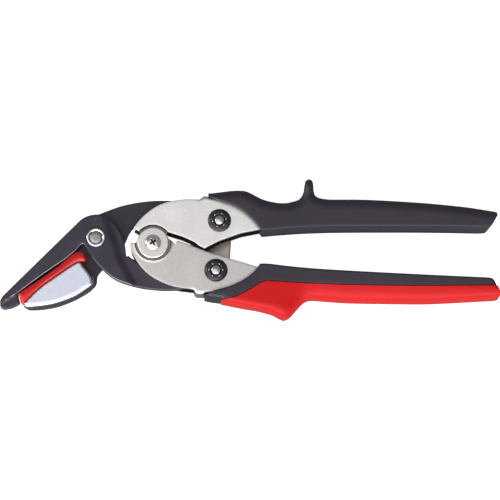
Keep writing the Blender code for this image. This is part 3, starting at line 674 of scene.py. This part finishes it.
def ear_rim(loop):
    return Rim(resample(loop, STRIP_SPACING), LEAST_EDGE, LEAST_EDGE)


def recessed(points):
    """Front of the lower frame: a sunk seat for the washer inside a low raised rim."""
    radius = np.hypot(*points.T)
    sunk = smoothstep(-radius, -RECESS_RIM, -RECESS_R)
    bead = smoothstep(-radius, -RECESS_SKIRT, -RECESS_RIM) * RECESS_BEAD
    return (PLATE_OUT + bead) * (1 - sunk) + RECESS_FLOOR * sunk


def frame_piece(name, node, side, front, extra=None, material=None):
    """A channel frame: two walls with folded edges, the web between them and any pivot ears."""
    rims = frame_rims(node, side)
    parts = join_parts(*[rim.parts() for rim in rims])
    halves = []
    for face, points in ((front, extra), (level(PLATE_OUT), None)):
        bm = bmesh.new()
        relief(bm, rims, face, level(PLATE_IN), front_parts=parts, extra=points)
        ears = ear_loops(node, (EAR_IN + EAR_OUT) / 2)
        if ears:
            relief(bm, [ear_rim(loop) for loop in ears], level(EAR_OUT), level(EAR_IN), rings=1)
            for loop in ear_loops(node, (EAR_OUT + PLATE_IN) / 2):
                relief(bm, [ear_rim(loop)], level(PLATE_IN + LEAST_EDGE), level(EAR_OUT - LEAST_EDGE),
                       rings=1)
        halves.append(bm)
    whole, rear = halves
    web = Rim(resample(slice_loops(node, 0.0)[0], 1.5 * MM), 0.2 * MM, 0.0)
    relief(whole, [web], level(PLATE_IN), level(-PLATE_IN), rings=1, grid=3.0 * MM)
    flip(rear)
    merge(whole, rear)
    return adopt(finish_solid(name, whole), node, material)


def flip(bm):
    """Mirrors a solid in the shear plane."""
    for vert in bm.verts:
        vert.co.z = 2 * MID - vert.co.z
    bmesh.ops.reverse_faces(bm, faces=bm.faces)


def merge(bm, other):
    """Adds another solid to bm."""
    scrap = bpy.data.meshes.new("scrap")
    other.to_mesh(scrap)
    other.free()
    bm.from_mesh(scrap)
    bpy.data.meshes.remove(scrap)


SEAT_ROW_RADII = (8.3, 8.6, 8.7, 8.8, 8.95, 9.15, 9.4, 9.7, 10.0)
seat_rows = np.concatenate([circle(HANDLE_PIVOT, radius * MM, 150) for radius in SEAT_ROW_RADII])
frame_piece("upper_channel", "upper_handle_frame", 1, level(PLATE_OUT))
frame_piece("lower_channel", "lower_handle_frame", -1, recessed, seat_rows, LOWER_PLATE)


# ---------------------------------------------------------------- blades

SHEAR_GAP = 0.15 * MM
ARM, FACE = 4.4 * MM, 6.0 * MM   # outer faces of a blade's arm and of its raised jaw
BLADE_SPACING = 0.6 * MM
SLICE_AT = 2.0 * MM              # height in each blade at which its outline is taken
HOOK_FALL = 1.9 * MM
HOOK_START = -62.0 * MM
HOOK_ROWS = (-2.0, -1.5, -1.0, -0.8, -0.6, -0.4, -0.2, 0.0)
BEAK_SHOULDER = spline([(-4.0, -25.0), (-6.8, -20.0), (-9.0, -16.4), (-13.1, -9.6), (-16.0, -3.3),
                        (-18.6, 3.6), (-20.8, 8.0), (-23.0, 13.0)])
KNIFE_SHOULDER = spline([(-24.1, -16.0), (-19.6, -8.6), (-17.6, -3.4), (-17.8, 4.0), (-21.0, 10.4),
                         (-24.0, 14.0)])
HOOK_LINE = spline([(-75.5, -36.3), (-70.5, -33.3), (-66.2, -30.0), (-60.0, -25.2)])


def beak_front(points):
    """Front of the beak: a low arm, the raised jaw and boss, and the step down to the hook."""
    raised = smoothstep(side_distance(points, BEAK_SHOULDER), -0.2 * MM, 4.4 * MM)
    below = smoothstep(-side_distance(points, HOOK_LINE), 0.0, 0.8 * MM) * (points[:, 0] < HOOK_START)
    return ARM + (FACE - ARM) * raised - HOOK_FALL * below


def knife_back(points):
    """Back of the knife: a low arm, and the raised jaw and boss."""
    return -ARM - (FACE - ARM) * smoothstep(side_distance(points, KNIFE_SHOULDER), 0.0, 3.5 * MM)


def blade_loops(node, z):
    return [soften(resample(loop, BLADE_SPACING), 2) for loop in slice_loops(node, z)]


def make_beak():
    """The beak in front of the shear plane, and its hook, which reaches behind it."""
    loops = blade_loops("beak_blade", SLICE_AT)
    out = normals_of(loops[0])
    top_side = np.clip((out @ np.array([0.35, 0.94]) - 0.2) / 0.5, 0.0, 1.0)
    wide = smooth_along(0.5 * MM + 0.5 * MM * top_side, 3)
    rims = [Rim(loops[0], wide, 0.9 * wide)] + [Rim(loop, 0.2 * MM, 0.1 * MM) for loop in loops[1:]]
    along = np.concatenate([[0.0], np.cumsum(np.hypot(*np.diff(HOOK_LINE, axis=0).T))])
    steps = np.arange(0.0, along[-1], 0.4 * MM)
    line = np.stack([np.interp(steps, along, HOOK_LINE[:, k]) for k in (0, 1)], 1)
    near_line = np.concatenate([offset_rows(line, distance * MM) for distance in HOOK_ROWS])
    bm = bmesh.new()
    back = Rim(loops[0], 0.25 * MM, 0.2 * MM)
    relief(bm, rims, beak_front, level(SHEAR_GAP), front_parts=rims[0].parts(), back_parts=back.parts(),
           grid=0.9 * MM, extra=near_line[near_line[:, 0] < HOOK_START - 1.0 * MM])
    hook = slice_loops("beak_blade", -SLICE_AT)[0]
    hook = Rim(soften(resample(hook, 0.4 * MM), 1), 0.6 * MM, 0.6 * MM)
    relief(bm, [hook], level(SHEAR_GAP + 0.2 * MM), level(-ARM), back_parts=hook.parts(), grid=0.8 * MM)
    adopt(finish_solid("beak", bm), "beak_blade")


def offset_rows(line, distance):
    """A resampled open line moved to its left."""
    along = np.gradient(line, axis=0)
    along /= np.hypot(*along.T)[:, None]
    return line + np.stack([-along[:, 1], along[:, 0]], 1) * distance


def make_knife():
    """The knife, all of it behind the shear plane."""
    loops = blade_loops("knife_blade", -SLICE_AT)
    rims = [Rim(loops[0], 0.35 * MM, 0.3 * MM)] + [Rim(loop, 0.2 * MM, 0.1 * MM) for loop in loops[1:]]
    back = Rim(loops[0], 0.5 * MM, 0.45 * MM)
    bm = bmesh.new()
    relief(bm, rims, level(-SHEAR_GAP), knife_back, front_parts=rims[0].parts(), back_parts=back.parts())
    adopt(finish_solid("knife", bm), "knife_blade", KNIFE_STEEL)


make_beak()
make_knife()


# ---------------------------------------------------------------- hold-down: pad and shoe

PAD_TOP, SHOE_TOP = 6.3 * MM, 5.9 * MM


def make_pad():
    """A rubber strip: a matte facet along the cut that climbs to a ridge beside the shoe."""
    loop = soften(resample(slice_loops("hold_down_pad", PAD_TOP - 1.0 * MM)[0], 0.4 * MM), 3)
    out = normals_of(loop)
    along_cut = np.clip((out @ np.array([-0.64, 0.77]) - 0.2) / 0.5, 0.0, 1.0)
    wide = smooth_along(1.2 * MM + 1.6 * MM * along_cut, 4)
    deep = smooth_along(1.0 * MM + 0.2 * MM * along_cut, 4)
    rim = Rim(loop, wide, deep)
    bm = bmesh.new()
    relief(bm, [rim], level(PAD_TOP), level(SHEAR_GAP), front_parts=rim.parts(), grid=0.4 * MM, power=1.3)
    adopt(finish_solid("hold_down_rubber", bm), "hold_down_pad")


def make_shoe():
    """A steel plate with a flat face, a broad rounded belly and a heel that slopes away."""
    loop = soften(resample(slice_loops("hold_down_shoe", SHOE_TOP - 1.0 * MM)[0], 0.4 * MM), 4)
    out = normals_of(loop)
    belly = np.clip((-out[:, 1] + 0.05) / 0.5, 0.0, 1.0)
    heel = np.clip((out[:, 0] - 0.35) / 0.5, 0.0, 1.0)
    wide = smooth_along(0.3 * MM + 1.1 * MM * belly + 1.6 * MM * heel * (1 - 0.7 * belly), 5)
    deep = smooth_along(0.3 * MM + 0.6 * MM * belly + 1.9 * MM * heel * (1 - 0.7 * belly), 5)
    rim = Rim(loop, wide, deep)
    bm = bmesh.new()
    relief(bm, [rim], level(SHOE_TOP), level(SHEAR_GAP), front_parts=rim.parts(), grid=0.6 * MM, rings=8,
           power=1.6)
    adopt(finish_solid("hold_down_plate", bm), "hold_down_shoe", SHOE_STEEL)


make_pad()
make_shoe()


# ---------------------------------------------------------------- pivots and pins

def dome(radius, low, high, steps=10):
    """Profile corners of a domed end in millimetres, from its crown to its rim."""
    turns = [math.pi / 2 * i / steps for i in range(steps + 1)]
    return [(radius * math.sin(t), low + (high - low) * math.cos(t), 0) for t in turns]


def make_handle_pivot():
    """The washer on the front and the bolt, with a ring groove in its head on the back."""
    washer = [(3.3, 6.15, 0), (7.9, 6.15, 0.1), (7.9, 7.6, 1.0), (3.3, 7.6, 0.2)]
    turned_piece("pivot_washer", "handle_pivot_washer", washer, HANDLE_PIVOT, material=WASHER_STEEL)
    head = [(0, -10.0, 0), (1.2, -10.0, 0.2), (1.5, -9.7, 0.2), (2.0, -9.7, 0.2), (2.2, -10.0, 0.2),
            (7.0, -10.0, 1.0), (7.0, -7.0, 0.2)]
    shank = [(3.0, -7.0, 0), (3.0, 7.3, 0.1), (0, 7.3, 0)]
    turned_piece("pivot_bolt", "handle_pivot_bolt", head + shank, HANDLE_PIVOT)
    make_screw()


CROSS_TURN = math.radians(35.0)
CROSS_HALF, CROSS_REACH = 0.5 * MM, 1.9 * MM
CROSS_DEPTH = 1.3 * MM
SCREW_R = 3.9 * MM
SCREW_RIM = 8.15 * MM
SCREW_CROWN = 1.35 * MM          # how far the dome rises above its rim


def screw_dome(points):
    radius = np.hypot(*points.T) / SCREW_R
    return SCREW_RIM + SCREW_CROWN * np.sqrt(np.clip(1 - radius ** 2, 0.0, 1.0))


def screw_front(points):
    """A domed head with a cross recess."""
    cosine, sine = math.cos(CROSS_TURN), math.sin(CROSS_TURN)
    spin = np.array([[cosine, -sine], [sine, cosine]])
    x, y = np.abs(points @ spin).T
    arms = [smoothstep(CROSS_HALF - across, 0.0, 0.2 * MM) * smoothstep(CROSS_REACH - along, 0.0, 0.7 * MM)
            for along, across in ((x, y), (y, x))]
    return screw_dome(points) - CROSS_DEPTH * np.maximum(*arms)


def make_screw():
    """The domed screw in the bolt's end; the walls and floor of its recess get the black cap finish as
    painted shade.
    """
    rim = Rim(circle(HANDLE_PIVOT, SCREW_R, 96), 0.2 * MM, 0.2 * MM)
    rows = [circle(HANDLE_PIVOT, SCREW_R * math.sin(math.pi / 2 * i / 14), 90) for i in range(9, 14)]
    bm = bmesh.new()
    relief(bm, [rim], screw_front, level(7.9 * MM), front_parts=rim.parts(), grid=0.2 * MM, rings=1,
           extra=np.concatenate(rows))
    lathe(bm, filleted([(0, -1.5, 0), (1.7, -1.5, 0.2), (1.7, 8.0, 0), (0, 8.0, 0)]), HANDLE_PIVOT, 32)
    screw = adopt(finish_solid("pivot_screw", bm), "handle_pivot_screw", SCREW_STEEL)
    # Painted shade: the recess's walls and floor take the black cap finish.
    screw.data.materials.append(MATERIALS["cap_steel"])
    centres = np.array([tuple(face.center) for face in screw.data.polygons])
    sunk = (centres[:, 2] - MID > 7.95 * MM) & (centres[:, 2] - MID < screw_dome(centres[:, :2]) - 0.25 * MM)
    for face, dark in zip(screw.data.polygons, sunk & (np.hypot(*centres[:, :2].T) < CROSS_REACH)):
        face.material_index = int(dark)


CAP_R = 5.75 * MM
CAP_FALL = np.array([(0.0, 8.35), (3.2, 8.35), (3.8, 8.28), (4.4, 8.08), (4.9, 7.82), (5.3, 7.5),
                     (5.6, 7.22), (5.8, 7.1)]) * MM      # radius and height
TEETH = 6
TOOTH_R = 0.42                   # millimetres, as in the profiles
TOOTH_AT = 3.4 * MM


def cap_front(centre):
    """Front of a push-on cap: a flat crown that falls away to the rim."""
    return lambda points: np.interp(np.hypot(*(points - centre).T), CAP_FALL[:, 0], CAP_FALL[:, 1])


def make_link(prefix, centre, first_tooth):
    """A headed pin, the slotted cap pushed over its domed end, and the bright ends of the cap's teeth."""
    star = slice_loops(f"{prefix}_star_lock", 7.7 * MM)[1:]
    rims = [Rim(circle(centre, CAP_R, 96), 0.25 * MM, 0.2 * MM)]
    rims += [Rim(resample(loop, 0.25 * MM), 0.12 * MM, 0.1 * MM) for loop in star]
    rows = [circle(centre, r * MM, 90) for r in (4.3, 4.5, 4.7, 4.9, 5.1, 5.3)]
    bm = bmesh.new()
    relief(bm, rims, cap_front(np.array(centre)), level(7.0 * MM), grid=0.45 * MM, rings=1,
           front_parts=join_parts(*[rim.parts() for rim in rims]), extra=np.concatenate(rows))
    adopt(finish_solid(f"{prefix}_push_cap", bm), f"{prefix}_star_lock")
    bm = bmesh.new()
    lathe(bm, filleted([(0, -9.7, 0), (4.2, -9.7, 0.5), (4.2, -8.5, 0.1), (2.5, -8.5, 0)]
                       + dome(2.5, 7.7, 9.0)[::-1]), centre, 64)
    for i in range(TEETH):
        turn = math.radians(first_tooth + 360.0 / TEETH * i)
        tooth = (centre[0] + TOOTH_AT * math.cos(turn), centre[1] + TOOTH_AT * math.sin(turn))
        profile = [(0, 7.0, 0), (TOOTH_R, 7.0, 0)] + dome(TOOTH_R, 8.1, 8.4, 4)[::-1]
        lathe(bm, filleted(profile), tooth, 16)
    adopt(finish_solid(f"{prefix}_pin", bm, 35.0), f"{prefix}_link_pin", LINK_STEEL)


def make_blade_pivot():
    """The bright collar on the beak, and the rivet through both blades."""
    turned_piece("pivot_collar", "blade_pivot_collar",
                 [(3.35, 6.3, 0), (4.6, 6.3, 0), (4.6, 6.85, 0.35), (3.9, 7.15, 0.5), (3.35, 6.75, 0.1)],
                 BLADE_PIVOT)
    turned_piece("pivot_rivet", "blade_pivot_rivet",
                 [(0, -7.2, 0), (2.4, -7.15, 0.3), (4.5, -6.8, 0.3), (4.5, -6.3, 0), (3.0, -6.3, 0),
                  (3.0, 7.05, 0.35), (1.6, 7.22, 0.3), (0, 7.25, 0)], BLADE_PIVOT)


def make_shoe_rivets():
    for number in (1, 2):
        node = f"shoe_rivet_{number}"
        low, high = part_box(node)
        centre = ((low.x + high.x) / 2, (low.y + high.y) / 2)
        shank = [(2.8, -6.3, 0.1), (1.5, -6.3, 0), (1.5, 4.4, 0), (0, 4.4, 0)]
        turned_piece(f"hold_down_rivet_{number}", node, dome(2.8, -6.4, -7.6)[:-1] + shank, centre, 48)


make_handle_pivot()
make_link("upper", UPPER_LINK, 14.0)
make_link("lower", LOWER_LINK, 3.0)
make_blade_pivot()
make_shoe_rivets()


# ---------------------------------------------------------------- latch, bushes and springs

LATCH_FRONT, LATCH_BACK = -7.0 * MM, -8.2 * MM
LATCH_LIP = -9.5 * MM            # back of the thumb lip


def make_latch():
    """A hooked plate behind the frames, its right edge broken wider, and its thumb lip."""
    rims = []
    for loop in slice_loops("latch_plate", (LATCH_FRONT + LATCH_BACK) / 2):
        loop = soften(resample(loop, 0.6 * MM), 1)
        right = smooth_along((normals_of(loop)[:, 0] > 0.7).astype(float), 1)
        rims.append(Rim(loop, 0.25 * MM + 0.4 * MM * right, 0.22 * MM + 0.5 * MM * right))
    parts = join_parts(*[rim.parts() for rim in rims])
    bm = bmesh.new()
    relief(bm, rims, level(LATCH_FRONT), level(LATCH_BACK), front_parts=parts, back_parts=parts, rings=2)
    lip = Rim(resample(slice_loops("latch_plate", -9.0 * MM)[0], 0.4 * MM), 0.4 * MM, 0.4 * MM)
    relief(bm, [lip], level(LATCH_BACK + 0.3 * MM), level(LATCH_LIP), back_parts=lip.parts(), rings=3)
    adopt(finish_solid("latch", bm), "latch_plate", LATCH_STEEL)


def make_sleeve(name, node, bore, radius, centre):
    """A tube between the frame's walls, its rims rounded; bore and radius are in millimetres."""
    profile = [(bore, -4.4, 0.2), (radius, -4.4, 0.2), (radius, 4.4, 0.2), (bore, 4.4, 0.2)]
    turned_piece(name, node, profile, centre, 64)


def make_spring(name, node, centre, side):
    """A torsion spring around a link pin."""
    wire, radius, turns, steps, leg = 1.0, 4.6, 2.5, 36, 9.0
    start = math.radians(180.0 + 90.0 * side)
    count = round(turns * steps)
    height = side * (0.15 + wire / 2 + 0.25)
    rise = side * (wire + 0.12)
    coil = []
    for i in range(count + 1):
        turn = start + side * 2 * math.pi * i / steps
        coil.append((centre[0] / MM + radius * math.cos(turn), centre[1] / MM + radius * math.sin(turn),
                     height + rise * i / steps))
    first, last = coil[0], coil[-1]
    leg_in = (first[0] - leg, first[1] + 1.0 * side, first[2])
    leg_out = (last[0] - leg, last[1] - 0.4 * side, last[2])
    points = [leg_in] + coil + [leg_out]
    curve = bpy.data.curves.new(name, "CURVE")
    curve.dimensions = "3D"
    curve.bevel_depth = wire / 2 * MM
    curve.bevel_resolution = 4
    curve.use_fill_caps = True
    line = curve.splines.new("POLY")
    line.points.add(len(points) - 1)
    for knot, (x, y, z) in zip(line.points, points):
        knot.co = (x * MM, y * MM, z * MM + MID, 1.0)
    path = bpy.data.objects.new(name + "_path", curve)
    bpy.context.scene.collection.objects.link(path)
    wound = path.evaluated_get(bpy.context.evaluated_depsgraph_get())
    piece = bpy.data.objects.new(name, bpy.data.meshes.new_from_object(wound))
    bpy.data.objects.remove(path)
    bpy.context.scene.collection.objects.link(piece)
    adopt(piece, node)


make_latch()
make_sleeve("pivot_sleeve", "handle_pivot_sleeve", 3.3, 4.6, HANDLE_PIVOT)
make_sleeve("upper_bush", "upper_link_bush", 2.8, 3.4, UPPER_LINK)
make_sleeve("lower_bush", "lower_link_bush", 2.8, 3.4, LOWER_LINK)
make_spring("upper_spring", "upper_opening_spring", UPPER_LINK, 1)
make_spring("lower_spring", "lower_opening_spring", LOWER_LINK, -1)


# ---------------------------------------------------------------- grips

GRIP_LEVEL = 8.2 * MM            # above the frame's pocket, below the chamfer
GRIP_HALF = 10.0 * MM
GRIP_SPACING = 0.8 * MM
MOUTH_END = 56.0 * MM            # the grips' lips over the frames lie left of this
LIP_WIDE, LIP_DEEP = 0.8 * MM, 0.6 * MM


def grip_loop(node):
    return soften(resample(slice_loops(node, GRIP_LEVEL)[0], GRIP_SPACING), 2, corner=18.0)


def add_grip(name, node, rim, parts):
    """A grip between two level faces that are rounded alike."""
    bm = bmesh.new()
    relief(bm, [rim], level(GRIP_HALF), level(-GRIP_HALF), front_parts=parts, back_parts=parts, rings=7)
    adopt(finish_solid(name, bm), node)


def make_upper_grip():
    """Firm edge along the fingers, softer over the back, thinnest lip over the frame."""
    loop = grip_loop("upper_grip")
    out = normals_of(loop)
    outer = np.clip((out[:, 1] + 0.25) / 0.8, 0.0, 1.0)
    wide = 0.8 * MM + 4.7 * MM * outer
    deep = 0.8 * MM + 3.4 * MM * outer
    mouth = (out[:, 0] < -0.35) & (loop[:, 0] < MOUTH_END) & (out[:, 1] < 0.0)
    wide[mouth], deep[mouth] = LIP_WIDE, LIP_DEEP
    rim = Rim(loop, smooth_along(wide, 3), smooth_along(deep, 3))
    add_grip("upper_grip_moulding", "upper_grip", rim, rim.parts())


COVER_X = np.array([30.0, 58.0, 66.0, 72.0, 76.0, 84.0, 125.0, 150.0, 175.0]) * MM
COVER_WIDE = np.array([2.6, 3.0, 5.0, 5.5, 8.0, 9.5, 9.5, 7.0, 4.0]) * MM
COVER_DEEP = np.array([2.8, 3.0, 4.2, 4.5, 4.8, 5.2, 5.2, 4.2, 3.2]) * MM
SEAM_EDGE = 0.22 * MM
SEAM_REACH = 0.7 * MM            # points nearer than this to the other moulding are on the seam


def make_lower_grip():
    """A firm black core and a crowned red cover, whose faces run on across the seam."""
    rims = {}
    for node in ("lower_grip_core", "lower_grip_cover"):
        loop = grip_loop(node)
        out = normals_of(loop)
        outer = np.clip((0.1 - out[:, 1]) / 0.5, 0.0, 1.0)
        wide = 1.0 * MM + (np.interp(loop[:, 0], COVER_X, COVER_WIDE) - 1.0 * MM) * outer
        deep = 0.9 * MM + (np.interp(loop[:, 0], COVER_X, COVER_DEEP) - 0.9 * MM) * outer
        mouth = (out[:, 0] < -0.35) & (out[:, 1] > 0.0) & (loop[:, 0] < MOUTH_END)
        wide[mouth], deep[mouth] = LIP_WIDE, LIP_DEEP
        rims[node] = Rim(loop, smooth_along(wide, 4), smooth_along(deep, 4))
    core, cover = rims.values()
    at_seam = []
    for rim, other in ((core, cover), (cover, core)):
        gap, _ = segment_distance(rim.loop, other.loop, np.roll(other.loop, -1, 0))
        at_seam.append(gap.min(1) < SEAM_REACH)
    outside = join_parts(*[rim.parts(~(seam & np.roll(seam, -1)))
                           for rim, seam in zip((core, cover), at_seam)])
    for (node, rim), seam, name in zip(rims.items(), at_seam, ("lower_grip_inner", "lower_grip_outer")):
        groove = Rim(rim.loop, SEAM_EDGE, SEAM_EDGE).parts(seam & np.roll(seam, -1))
        rim.wide = np.where(seam, SEAM_EDGE, rim.wide)
        add_grip(name, node, rim, join_parts(outside, groove))


make_upper_grip()
make_lower_grip()


# ---------------------------------------------------------------- studio

WHITE = (1.0, 1.0, 1.0, 1.0)
FLOOR_GLOW = 0.9                 # the floor is a light table
FLOOR_DROP = 0.2 * MM
DOME_FLOOR = 0.22                # what shiny faces see below the horizon
DOME_LOW = 0.30                  # and just above it
SKY_DIRECTION = (-0.25, -0.52, 0.82)
SKY_PEAK = 1.6
NEAR_SIDE = 0.8
LAMP_TARGET = (0.05, 0.0, 0.0)


def make_floor():
    """A pale sheet just under the tool. It glows, and shiny faces don't see it."""
    bm = bmesh.new()
    bmesh.ops.create_grid(bm, x_segments=2, y_segments=2, size=6.0)
    floor = new_object("floor", bm)
    floor.location.z = -FLOOR_DROP
    m = Nodes("pale_floor")
    tone = m.noise(0.4, 2.0)
    m.link(m.mix(tone, (0.50, 0.50, 0.50), (0.52, 0.52, 0.52)), m.shader.inputs["Base Color"])
    m.set(Roughness=0.9, Specular_IOR_Level=0.1, Emission_Color=WHITE, Emission_Strength=FLOOR_GLOW)
    floor.data.materials.append(m.material)
    floor.visible_glossy = False


def make_world():
    """A soft dome: brightest high on the near left, dark low on the far and right sides."""
    world = bpy.data.worlds.new("studio")
    bpy.context.scene.world = world
    world.use_nodes = True
    tree = world.node_tree
    background = tree.nodes["Background"]
    where = tree.nodes.new("ShaderNodeTexCoord").outputs["Generated"]

    def along(direction):
        node = tree.nodes.new("ShaderNodeVectorMath")
        node.operation = "DOT_PRODUCT"
        node.inputs[1].default_value = Vector(direction).normalized()
        tree.links.new(where, node.inputs[0])
        return node.outputs["Value"]

    def ramp(source, from_low, from_high, to_low, to_high):
        node = tree.nodes.new("ShaderNodeMapRange")
        node.interpolation_type = "SMOOTHSTEP"
        node.inputs["From Min"].default_value = from_low
        node.inputs["From Max"].default_value = from_high
        node.inputs["To Min"].default_value = to_low
        node.inputs["To Max"].default_value = to_high
        tree.links.new(source, node.inputs["Value"])
        return node.outputs["Result"]

    def combine(operation, first, second):
        node = tree.nodes.new("ShaderNodeMath")
        node.operation = operation
        tree.links.new(first, node.inputs[0])
        tree.links.new(second, node.inputs[1])
        return node.outputs[0]

    sky = ramp(along(SKY_DIRECTION), 0.55, 0.97, 0.0, SKY_PEAK)
    near_side = ramp(along((0.0, -1.0, 0.15)), 0.65, 1.0, 0.0, NEAR_SIDE)
    above = ramp(along((0.0, 0.0, 1.0)), -0.1, 0.05, DOME_FLOOR, DOME_LOW)
    only_above = ramp(along((0.0, 0.0, 1.0)), -0.05, 0.05, 0.0, 1.0)
    lights = combine("MULTIPLY", combine("ADD", sky, near_side), only_above)
    tree.links.new(combine("ADD", lights, above), background.inputs["Strength"])
    background.inputs["Color"].default_value = WHITE


def area_light(name, place, size, power):
    """A rectangular lamp that points at the middle of the tool."""
    data = bpy.data.lights.new(name, "AREA")
    data.shape = "RECTANGLE"
    data.size, data.size_y = size
    data.energy = power
    lamp = bpy.data.objects.new(name, data)
    lamp.location = place
    lamp.rotation_mode = "QUATERNION"
    lamp.rotation_quaternion = (Vector(LAMP_TARGET) - Vector(place)).to_track_quat("-Z", "Y")
    bpy.context.scene.collection.objects.link(lamp)


def make_camera():
    """Long lens, 10 degrees off the tool's face towards -Y, rolled so that the tool runs downhill."""
    elevation = math.radians(80.0)
    roll = math.radians(3.9)
    target = Vector((48.4, 0.9, 10.0)) * MM
    distance = 1.4
    width = 0.250
    data = bpy.data.cameras.new("camera")
    data.sensor_width = 36.0
    data.lens = data.sensor_width * distance / width
    data.clip_start, data.clip_end = 0.05, 20.0
    camera = bpy.data.objects.new("camera", data)
    back = Vector((0.0, -math.cos(elevation), math.sin(elevation)))
    camera.location = target + back * distance
    camera.rotation_mode = "QUATERNION"
    turn = (-back).to_track_quat("-Z", "Y").to_matrix() @ Matrix.Rotation(roll, 3, "Z")
    camera.rotation_quaternion = turn.to_quaternion()
    bpy.context.scene.collection.objects.link(camera)
    bpy.context.scene.camera = camera


make_floor()
make_world()
make_camera()
area_light("near_strip", (0.05, -1.8, 0.85), (5.0, 0.5), 45.0)
area_light("left_softbox", (-2.2, 0.3, 0.9), (0.7, 0.9), 14.0)
bpy.context.scene.view_settings.view_transform = "Standard"
